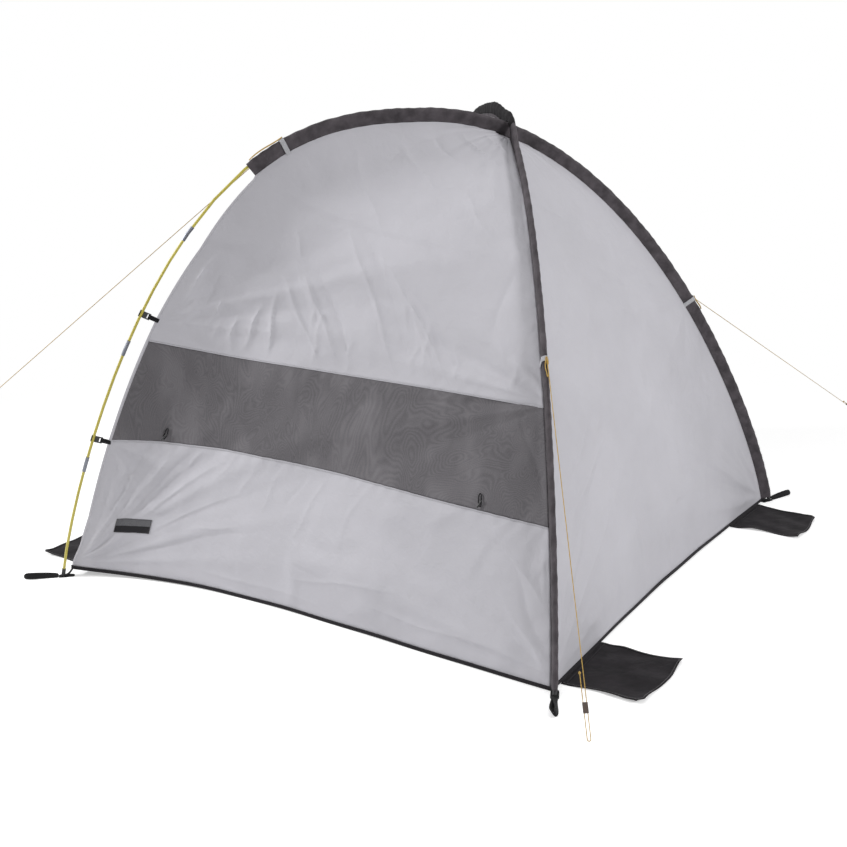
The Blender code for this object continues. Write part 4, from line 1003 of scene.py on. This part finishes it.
def sleeve_section(line, station):
    """The folded cloth round a pole at each station, as (outward, side) pairs from seam to seam.

    It runs up one side, round the pole and down the other side, as a drop shape that narrows evenly to the
    seam. Its radius and its sides change with sums of sines along the sleeve, which draws small puckers.
    At the crossing the upper sleeve is fuller on its outer side, and its sides are cut short to let the
    other sleeve through.
    """
    s = station[:, None]
    away = np.abs(station - line["crossing"])[:, None]
    rise = np.broadcast_to(lift(line, station)[:, None], s.shape)
    past = station[:, None] - line["crossing"]
    full = 0.006 * bump(past, 0.0, 0.06) + 0.0078 * bump(past, -0.20, 0.15)
    full = full if line["lifted"] else full * 0.0
    pucker = 0.0005 * np.sin(165.0 * s + 2.6 * np.sin(14.0 * s)) + 0.0004 * np.sin(61.0 * s + 1.0)
    radius = TUNNEL_RADIUS + 0.0011 + pucker
    depth = SEAM_DEPTH + rise + 0.0035 + 0.0006 * np.sin(47.0 * s)
    if line["lifted"]:
        cut = CROSSING_DEPTH + (depth - CROSSING_DEPTH) * smooth(away, 0.017, 0.036)
        depth = np.where(away < CROSSING_SEAM, cut, depth)
    turn = np.radians(np.linspace(-112, 112, 23))[None, :]
    crown = np.clip(np.cos(turn), 0, 1)
    tunnel_up = np.cos(turn) * radius + full * crown
    tunnel_side = np.sin(turn) * (0.74 * radius + 0.2 * full)
    drop = np.linspace(1.0, 0.0, 7)[None, :-1]
    neck = tunnel_up[:, :1]
    wave = 0.0008 * np.sin(140.0 * s + 9.0 * drop) * np.sin(math.pi * drop)
    web_up = neck + (-depth - neck) * drop
    half = tunnel_side[:, -1:] * (1 - drop) + 0.0013 * drop
    first = np.stack((web_up, wave - half), axis=-1)
    second = np.stack((web_up[:, ::-1], (wave + half)[:, ::-1]), axis=-1)
    tunnel = np.stack((tunnel_up, tunnel_side), axis=-1)
    return np.concatenate((first, tunnel, second), axis=1)


def round_pole(line, station, section):
    """Points of cloth round a pole, from its section at each station as (outward, side) pairs."""
    outward, side = read(line, "outward", station), read(line, "side", station)
    middle = read(line, "point", station) + outward * lift(line, station)[:, None]
    return middle[:, None] + outward[:, None] * section[..., :1] + side[:, None] * section[..., 1:]


# Painted shade: a near-black sheet over the top of the upper sleeve where the poles cross. It is darker than
# the sleeve cloth and stands for the shade on the sleeve there.
station = right_pole["crossing"] + np.linspace(-0.50, 0.034, 160)
section = sleeve_section(right_pole, station)[:, 3:-3] * 1.06 + np.array((0.0006, 0.0))
grid = round_pole(right_pole, station, section)
crown = sheet_piece("crossing_painted_shade", grid, crossing_shade_look, SLEEVE_CLOTH)
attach(crown, "tent")

for owner, line in POLES.items():
    station = np.linspace(SLEEVE_START + 0.012, LENGTH - SLEEVE_FOOT + 0.005, 560)
    grid = round_pole(line, station, sleeve_section(line, station))
    sleeve = sheet_piece(f"{owner}_pole_sleeve_cloth", grid, sleeve_look, SLEEVE_CLOTH)
    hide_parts(f"{owner}_pole_sleeve")
    trim = []
    for side in (-1, 1):
        place = seam(line, station) + read(line, "outward", station) * 0.001
        place = place + read(line, "side", station) * side * 0.0019
        near = np.abs(station - line["crossing"]) < CROSSING_SEAM
        ahead = station < line["crossing"]
        for part, keep in (("front", ahead & ~near), ("back", ~ahead & ~near)):
            name = f"{owner}_sleeve_{part}_stitch_{'in' if side < 0 else 'out'}"
            trim.append(
                tube(name, place[keep], THREAD_RADIUS, dark_thread, 5, read(line, "outward", station[keep]))
            )
    carry("tent", (sleeve, *trim))


# Door edges

for owner, line in POLES.items():
    station = np.linspace(0.006, SLEEVE_START + 0.018, 260)
    edge = side_wall(owner, station, station * 0.0)
    inner = side_wall(owner, station, station * 0.0 + 0.012)
    across_row = unit(inner - edge)
    facing = unit(np.cross(across_row, np.gradient(edge, axis=0)))
    middle = edge + across_row * 0.0038
    hem = swept(f"{owner}_door_hem_cloth", middle, strap_profile(*DOOR_HEM), wall_look, facing)
    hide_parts(f"{owner}_door_hem")
    trim = [hem]
    for side in (-1, 1):
        row = edge + across_row * 0.0064 + facing * side * 0.0009
        name = f"{owner}_door_stitch_{'in' if side < 0 else 'out'}"
        trim.append(swept(name, row, strap_profile(*STITCH), grey_thread, facing))
    for name, place in (("lower", LOWER_CLIP), ("upper", UPPER_CLIP)):
        swing = read(line, "side", place)
        swing = swing if swing[2] > 0 else -swing
        out, point = read(line, "outward", place), read(line, "point", place)
        angle = np.radians(np.linspace(-90, 90, 15))
        fold = np.column_stack((np.cos(angle), np.sin(angle))) * CLIP_FOLD_RADIUS + (CLIP_FOLD, 0.0)
        far = -float(np.interp(place, DOOR_STATIONS, DOOR_GAPS)) - 0.011
        path = np.vstack(
            ([far, -0.0016], [far * 0.5 - 0.016, -0.0030], fold, [-0.034, 0.0028], [far + 0.001, 0.0017])
        )
        path = along_path(path, 50)
        strap = point + out * path[:, :1] + swing * path[:, 1:]
        turned_up = np.gradient(path, axis=0)
        up = swing * turned_up[:, :1] - out * turned_up[:, 1:]
        tab = swept(f"{owner}_{name}_clip_webbing", strap, strap_profile(*CLIP_STRAP), strap_look, up)
        box = point + out * (far + 0.006) + swing * 0.0032
        along_pole = read(line, "along", place)
        row = box + along_pole * np.linspace(-0.0045, 0.0045, 12)[:, None]
        bar = swept(f"{owner}_{name}_clip_tack", row, strap_profile(*BAR_STITCH), dark_thread, swing)
        trim += [tab, bar]
    carry("tent", trim)


# Groundsheet, piping and corners


def rim_side(name, share):
    """The rim's centre line along one side of the groundsheet, bowed inward as the walls' lowest rows are.

    It rises by CORNER_LIFT exp(-share / reach) at the front corners, with a shorter reach along the front.
    """
    front_left = read(left_pole, "point", 0.0) - read(left_pole, "outward", 0.0) * DOOR_GAPS[0]
    back_left = seam(right_pole, LENGTH - SLEEVE_FOOT)
    front_left[2] = back_left[2] = 0.0
    ends = {
        "left": (front_left, back_left, SIDE_BOW, SIDE_BOW_LEAN),
        "back": (back_left, back_left * MIRROR, BACK_BOW, 0.0),
        "right": (front_left * MIRROR, back_left * MIRROR, SIDE_BOW, SIDE_BOW_LEAN),
        "front": (front_left, front_left * MIRROR, FRONT_BOW, 0.0),
    }
    start, end, bow, lean = ends[name]
    chord = unit(end - start)
    inward = np.array((0.0, ARCH_CENTRE[1], 0.0)) - (start + end) / 2
    inward = unit(inward - chord * np.dot(inward, chord))
    depth = bow * np.sin(math.pi * share * (1 + lean) / (1 + lean * share))
    point = start + (end - start) * share[:, None] + inward * depth[:, None]
    reach = 0.035 if name == "front" else 0.10
    near = np.exp(-share / reach) + (np.exp(-(1 - share) / reach) if name == "front" else 0.0)
    raise_by = CORNER_LIFT * near if name != "back" else 0.0 * share
    point[:, 2] = RIM_RADIUS + raise_by + 0.0009 * np.sin(31.0 * share) * np.sin(math.pi * share)
    return point


piping = []
for name in ("left", "back", "right", "front"):
    path = rim_side(name, np.linspace(0, 1, 220))
    piping.append(tube(f"base_piping_{name}", path, RIM_RADIUS, piping_look, 14))
    lip, facing = path + UP * 0.0052, np.cross(UP, np.gradient(path, axis=0))
    piping.append(swept(f"base_binding_{name}", lip, strap_profile(*BINDING), piping_look, facing))
    carry("tent", piping[-2:])

share = np.linspace(0, 1, 160)
left_rim, right_rim = rim_side("left", share), rim_side("right", share)
front_rim, back_rim = rim_side("front", share), rim_side("back", share)
u, v = share[None, :, None], share[:, None, None]
ground = (1 - u) * left_rim[:, None] + u * right_rim[:, None] + (1 - v) * front_rim[None] + v * back_rim[None]
front_mix = (1 - u) * left_rim[0] + u * right_rim[0]
back_mix = (1 - u) * left_rim[-1] + u * right_rim[-1]
corner_mix = (1 - v) * front_mix + v * back_mix
ground = ground - corner_mix
x, y = ground[..., 0], ground[..., 1]
edge_share = np.minimum(share, 1 - share)
inside = np.minimum(edge_share[None], edge_share[:, None])
wrinkle = 0.5 + 0.25 * np.sin(11.0 * x + 4.0 * y + 1.5 * np.sin(5.0 * y))
wrinkle += 0.25 * np.sin(13.0 * y - 6.0 * x + 1.2 * np.sin(7.0 * x))
hollow = smooth(inside, 0.0, 0.03)
ground[..., 2] = ground[..., 2] * (1 - hollow) + (0.0008 + 0.0042 * wrinkle ** 3) * hollow
floor_cloth = sheet_piece("groundsheet_cloth", ground, sheet_look, HEAVY_CLOTH, -UP)
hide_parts("groundsheet")
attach(floor_cloth, "tent")


def loop_way(name):
    """The way that a peg loop lies, flat on the ground."""
    angle = math.radians(45.0 if name.startswith("front") else 24.0)
    x = math.cos(angle) if name.endswith("left") else -math.cos(angle)
    return np.array((x, math.sin(angle) * (-1 if name.startswith("front") else 1), 0.0))


def plate_round(name, centre, along, back_reach):
    """A flat tab round its eyelet, in rings that go from a round hole to a rounded oblong."""
    side = np.cross(UP, along)
    angle = np.linspace(0, 2 * math.pi, 97)
    span = np.where(np.cos(angle) > 0, TAB_REACH, back_reach)
    power = 5.0
    outer = np.abs(np.cos(angle) / span) ** power + np.abs(np.sin(angle) / TAB_HALF) ** power
    outer = outer ** (-1 / power)
    level = np.linspace(0, 1, 9)[:, None]
    radius = TAB_HOLE + (outer - TAB_HOLE) * level
    x, y = radius * np.cos(angle), radius * np.sin(angle)
    z = 0.0012 + 0.0005 * np.sin(240.0 * x) * level
    grid = centre + along * x[..., None] + side * y[..., None] + UP * z[..., None]
    return sheet_piece(name, grid, strap_look, TAB_THICKNESS, centre - UP)


for name in CORNERS:
    foot = read(POLES[guy_owners[name]], "point", 0.0 if name.startswith("front") else LENGTH)
    foot[2] = 0.0
    way = loop_way(name)
    front = name.startswith("front")
    corner = rim_side("left", np.array((0.0 if front else 1.0,)))[0]
    corner = corner * MIRROR if name.endswith("right") else corner
    back_reach = float(np.dot(foot - corner, way)) + 0.006
    tab = plate_round(f"{name}_corner_tab", foot, way, back_reach)
    angle = np.linspace(0, 2 * math.pi, 33)[:-1, None]
    side = np.cross(UP, way)
    circle = foot + (way * np.cos(angle) + side * np.sin(angle)) * EYELET_RADIUS + UP * 0.0026
    eyelet = tube(f"{name}_eyelet_ring", circle, 0.0011, eyelet_look, 10, closed=True)
    low, halfway = foot + way * 0.006 + UP * 0.0028, foot - way * back_reach * 0.45 + UP * 0.0065
    climb = along_path((low, halfway, corner + UP * 0.004 - way * 0.006), 24)
    neck = swept(f"{name}_corner_strap", climb, strap_profile(*LOOP_STRAP), strap_look, UP)
    t = np.linspace(0, 1, 120)
    reach = LOOP_REACH * np.sin(math.pi * t) ** 0.9
    spread = np.sin(2 * math.pi * t) * np.abs(np.sin(math.pi * t)) ** 0.5
    spread = spread * (0.0070 if name == "back_left" else 0.0034)
    twist = np.radians(62.0) * np.sin(math.pi * t) ** 0.25
    start = foot + way * LOOP_START
    hump = 0.0034 + 0.0068 * np.sin(math.pi * t) ** 0.5
    path = start + way * reach[:, None] + side * spread[:, None] + UP * hump[:, None]
    lean = UP * np.cos(twist)[:, None] + side * np.sin(twist)[:, None] * (-1 if name == "back_right" else 1)
    loop = swept(f"{name}_peg_webbing", path, strap_profile(*LOOP_STRAP), strap_look, lean)
    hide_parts(f"{name}_peg_loop")
    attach(loop, f"{name}_peg_loop")
    carry("tent", (tab, eyelet, neck))


# Sand flaps

FLAP_FRONT = (0.970, 0.512, 0.768)
FLAP_SLANTS = {"front_left": 0.0, "front_right": -0.02, "back_left": 0.006, "back_right": -0.052}


def flap_points(name, across, down):
    """A sand flap: across goes from its inner to its outer edge and down from the hinge to its far hem.

    The far corners are rounded by drawing the side edges in, and slow waves lift the free edges.
    """
    back = name.startswith("back")
    outside = 1.0 if back else -1.0
    reach, inner, outer = FLAP_FRONT
    rim = rim_side("back" if back else "front", np.linspace(0, 1, 400))
    order = np.argsort(rim[:, 0])
    x = inner + (outer - inner) * across
    top = np.interp(x, rim[order, 0], rim[order, 1]) + outside * (RIM_RADIUS + 0.0009)
    far = outside * reach
    y = top + (far - top) * down
    seed = 1.7 if back else 0.4
    round_off = 0.014 * smooth(2 * across - 1, 0.86, 1.0)
    y = y - outside * (round_off + 0.004 * np.sin(7.0 * across + seed)) * down ** 3
    depth = np.abs(y - top)
    z = 0.0014 + 0.0006 * (1 - smooth(depth, 0.0, 0.03))
    wave = 0.5 + 0.5 * np.sin(31.0 * y * outside + 9.0 * across + seed)
    ripple = 0.5 + 0.5 * np.sin(17.0 * across + 22.0 * y * outside + 2.0 * seed)
    rim_lift = (smooth(np.abs(2 * across - 1), 0.6, 1.0) + smooth(down, 0.8, 1.0)) * smooth(down, 0.1, 0.35)
    z = z + 0.0046 * wave * rim_lift + 0.0022 * ripple * smooth(down, 0.1, 0.3)
    sway = 0.0048 * np.sin(33.0 * y * outside + seed) * np.abs(2 * across - 1) ** 4
    x = x + FLAP_SLANTS[name] * across * down + sway * np.sign(across - 0.5)
    return np.stack((x, y, z), axis=-1) * (MIRROR if name.endswith("right") else np.ones(3))


for name in CORNERS:
    down, over = np.meshgrid(np.linspace(0, 1, 70), np.linspace(0, 1, 80), indexing="ij")
    grid = flap_points(name, over, down)
    flap = sheet_piece(f"{name}_flap_cloth", grid, flap_look, HEAVY_CLOTH, -UP)
    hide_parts(f"{name}_sand_flap")
    t = np.linspace(0.02, 0.98, 60)
    edges = ((t * 0 + 0.018, t), (t[2:-2], t[2:-2] * 0 + 0.978), (t * 0 + 0.982, t[::-1]))
    border = np.vstack([flap_points(name, *edge) for edge in edges])
    hem_path, row = along_path(border, 240) + UP * 0.0008, along_path(border, 300) + UP * 0.0016
    seams = [swept(f"{name}_flap_hem", hem_path, strap_profile(*FLAP_HEM), flap_look, UP)]
    seams.append(swept(f"{name}_flap_stitch", row, strap_profile(*STITCH), dark_thread, UP))
    for count, place in ((1, 0.0), (2, 0.055)):
        line = flap_points(name, t, t * 0 + place) + UP * 0.0016
        seams.append(tube(f"{name}_flap_piping_{count}", line, FLAP_PIPING_RADIUS, piping_look, 10))
    carry(f"{name}_sand_flap", (flap, *seams))


# Tapes over the sleeves


def tape_section():
    """A tape's path over a sleeve, as (outward, side) pairs, up one side and down the other."""
    turn = np.radians(np.linspace(-115, 115, 31))
    over = np.column_stack((np.cos(turn), 0.80 * np.sin(turn))) * TAPE_RADIUS
    first = np.linspace((-TAPE_DEPTH, -0.0032), over[0], 9)[:-1]
    return np.vstack((first, over, first[::-1] * (1, -1)))


for name, owner in guy_owners.items():
    line = POLES[owner]
    station = TAPES["front"] if name.startswith("front") else LENGTH - TAPES["back"]
    point, along, out, aside = (read(line, what, station) for what in ("point", "along", "outward", "side"))
    section = tape_section()
    path = point + out * section[:, :1] + aside * section[:, 1:]
    face = np.cross(np.gradient(path, axis=0), along)
    tape = swept(f"{name}_tape_webbing", path, strap_profile(*TAPE_STRAP), tape_look, face)
    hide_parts(f"{name}_guy_tape")
    pieces = [tape]
    for side in (-1, 1):
        for row in TACK_ROWS:
            bar = point - out * row / 1000 + aside * side * 0.0041
            bar = bar + along * np.linspace(-TACK_HALF, TACK_HALF, 12)[:, None]
            tack = f"{name}_tape_tack_{'in' if side < 0 else 'out'}_{row}"
            pieces.append(swept(tack, bar, strap_profile(*STITCH), grey_thread, aside))
    route, start, end, uphill, level = guy_route(owner, name)
    bow = -0.105 if name.startswith("front") else 0.052
    turn = np.linspace(0, 2 * math.pi, 121)[:-1]
    place = station + bow * (0.5 - 0.5 * np.cos(turn)) - 0.05 * bow
    clear = (0.0128 + 0.0010 * np.cos(3 * turn))[:, None]
    bow_path = read(line, "point", place) + read(line, "outward", place) * clear
    bow_path = bow_path + aside * (0.0030 * np.sin(turn) * (1 + 0.4 * np.sin(3 * turn)))[:, None]
    pieces.append(tube(f"{name}_cord_bow", bow_path, 0.0012, line_look, 10, closed=True))
    angle = np.linspace(0, 2 * math.pi, 37)[:-1, None]
    ring_path = start - uphill * 0.0035 + (uphill * np.cos(angle) * 1.5 + along * np.sin(angle)) * 0.0034
    pieces.append(tube(f"{name}_tape_loop", ring_path, KNOT_RADIUS, line_look, 10, closed=True))
    carry("tent", pieces)


# Label and toggles


def label_place(u, v):
    """Station and share on the left wall, from places of 0 to 1 along and up the label."""
    share = LABEL_SHARE + (u - 0.5) * LABEL_LENGTH / LABEL_ROW
    front = LABEL_FRONT + (v - 0.5) * LABEL_HEIGHT - LABEL_DROP * (u - 0.5)
    return front, share


def label_grid(low, high):
    """A part of the label, between two heights of its own from 0 to 1, a little proud of the wall."""
    u, v = np.meshgrid(np.linspace(0.0, 1.0, 60), np.linspace(low, high, 24))
    return side_wall("left", *label_place(u, v), 0.0011 + 0.0003 * np.sin(20.0 * u) * (1 - v))


label_upper_look = webbing("label_grey", (0.14, 0.14, 0.15), 1800.0, 0.05)
label_lower_look = webbing("label_black", (0.018, 0.017, 0.02), 1800.0, 0.05)
upper_grid, lower_grid = label_grid(0.47, 1.0), label_grid(0.0, 0.48)
upper_part = sheet_piece("label_upper", upper_grid, label_upper_look, LABEL_UPPER_CLOTH)
lower_part = sheet_piece("label_lower", lower_grid, label_lower_look, LABEL_LOWER_CLOTH)
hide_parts("label_patch")
t = np.linspace(0, 1, 40)
rounds = ((t, t * 0 + 0.04), (t * 0 + 0.985, t), (t[::-1], t * 0 + 0.96), (t * 0 + 0.015, t[::-1]))
label_parts = [upper_part, lower_part]
for count, (u, v) in enumerate(rounds):
    name = f"label_stitch_{count + 1}"
    label_parts.append(strip_on("left", name, *label_place(u, v), 0.0009, dark_thread, 0.0019, 0.0005))
carry("tent", label_parts)


def toggle(owner, name, front, share):
    """A toggle that holds a rolled window cover: an elastic loop and a small bar with a waist."""
    at = side_wall(owner, np.array((front,)), np.array((share,)), 0.0025)[0]
    up = side_wall(owner, np.array((front + 0.02,)), np.array((share,)), 0.0025)[0] - at
    over = side_wall(owner, np.array((front,)), np.array((share + 0.01,)), 0.0025)[0] - at
    up, over = unit(up), unit(over)
    out = unit(np.cross(over, up)) * (1 if owner == "left" else -1)
    out = out if np.dot(out, at - ARCH_CENTRE) > 0 else -out
    t = np.linspace(0, 2 * math.pi, 41)[:-1, None]
    loop_path = at + up * 0.016 * np.cos(t) + over * 0.0045 * np.sin(t) + out * 0.0012
    cord = tube(f"{owner}_{name}_elastic", loop_path, 0.0014, strap_look, 8, out, closed=True)
    length = np.linspace(-1, 1, 31)
    radius = 0.0029 * np.sqrt(np.clip(1 - np.abs(length) ** 6, 0.02, 1)) * (0.72 + 0.28 * length ** 2)
    bar_path = at - up * 0.010 + out * 0.0046 + (over * 0.5 + up * 0.86) * (length * 0.0125)[:, None]
    profile = ring(1.0, 14)[None] * radius[:, None, None]
    bar = swept(f"{owner}_{name}_bar", bar_path, profile, clip_look, out)
    carry("tent", (cord, bar))


for owner in ("left", "right"):
    for name, (front, share) in TOGGLES.items():
        toggle(owner, name, front, share)


# Finishes of the frame's own pieces


def dress(name, look):
    """Gives a frame piece its finish."""
    mesh = nodes[name].data
    mesh.materials.clear()
    mesh.materials.append(look)


for name in nodes:
    if "ferrule" in name:
        dress(name, ferrule_look)
    elif "shock_cord" in name:
        dress(name, elastic_look)
    elif "_tip" in name or name.endswith("_clip"):
        dress(name, clip_look)
    elif "_pole_section_" in name or "sleeved_sections" in name:
        dress(name, pole_look)
    elif name.endswith("_guy_runner"):
        dress(name, runner_look)
    else:
        dress(name, strap_look)


# Floor, light and background


def seen_directly(tree):
    """1 for camera, glossy and transmission rays, which see plain white, and 0 for the rays that light."""
    rays = tree.nodes.new("ShaderNodeLightPath").outputs
    either = maths(tree, "MAXIMUM", rays["Is Camera Ray"], rays["Is Glossy Ray"])
    return maths(tree, "MAXIMUM", either, rays["Is Transmission Ray"])


white, tree, shader = finish_of("floor_white", 0.9, shine=0.1)
shader.inputs["Base Color"].default_value = (0.86, 0.86, 0.86, 1.0)
seen = seen_directly(tree)
glow = add(tree, "ShaderNodeEmission", Color=(1.0, 1.0, 1.0, 1.0))
tree.links.new(maths(tree, "MULTIPLY", seen, 0.42), glow.inputs["Strength"])
both = tree.nodes.new("ShaderNodeAddShader")
tree.links.new(shader.outputs[0], both.inputs[0])
tree.links.new(glow.outputs[0], both.inputs[1])

# Past the tent the floor turns to plain white, so that its edge can't be seen
paper = add(tree, "ShaderNodeEmission", Color=(1.0, 1.0, 1.0, 1.0), Strength=1.0)
spot = tree.nodes.new("ShaderNodeTexCoord").outputs["Object"]
radius = add(tree, "ShaderNodeVectorMath", {"operation": "LENGTH"}, i0=spot).outputs["Value"]
fade = {"interpolation_type": "SMOOTHSTEP"}
far_off = add(tree, "ShaderNodeMapRange", fade, Value=radius, From_Min=1.5, From_Max=2.7).outputs[0]
mixed = tree.nodes.new("ShaderNodeMixShader")
tree.links.new(maths(tree, "MULTIPLY", far_off, seen), mixed.inputs[0])
tree.links.new(both.outputs[0], mixed.inputs[1])
tree.links.new(paper.outputs[0], mixed.inputs[2])
tree.links.new(mixed.outputs[0], tree.nodes["Material Output"].inputs["Surface"])
corners = np.array(((-30.0, -30.0, 0.0), (30.0, -30.0, 0.0), (30.0, 30.0, 0.0), (-30.0, 30.0, 0.0)))
floor = mesh_piece("floor", corners, [(0, 1, 2, 3)], white)

world = bpy.data.worlds.new("studio")
bpy.context.scene.world = world
world.use_nodes = True
tree = world.node_tree
sky = tree.nodes["Background"]
sky.inputs["Color"].default_value = (1.0, 1.0, 1.0, 1.0)
seen = seen_directly(tree)
tree.links.new(ranged(tree, seen, 0.33, 1.0), sky.inputs["Strength"])


def lamp(name, place, aim, size, power):
    """A square area lamp that looks at a point."""
    data = bpy.data.lights.new(name, "AREA")
    data.shape = "SQUARE"
    data.size = size
    data.energy = power
    made = bpy.data.objects.new(name, data)
    bpy.context.scene.collection.objects.link(made)
    facing = unit(np.array(place) - np.array(aim))
    over = unit(np.cross(UP, facing))
    matrix = np.eye(4)
    matrix[:3, 0], matrix[:3, 1], matrix[:3, 2], matrix[:3, 3] = over, np.cross(facing, over), facing, place
    made.matrix_world = Matrix(matrix.tolist())
    return made


lamp("key", (3.0, -4.1, 2.8), (0.4, 0.0, 0.5), 0.7, 200.0)
lamp("behind", (0.9, 4.7, 2.5), (0.0, 0.6, 0.5), 1.0, 104.0)
lamp("top", (0.0, 0.4, 5.2), (0.0, 0.0, 0.0), 3.0, 62.0)

bpy.context.scene.view_settings.view_transform = "Standard"
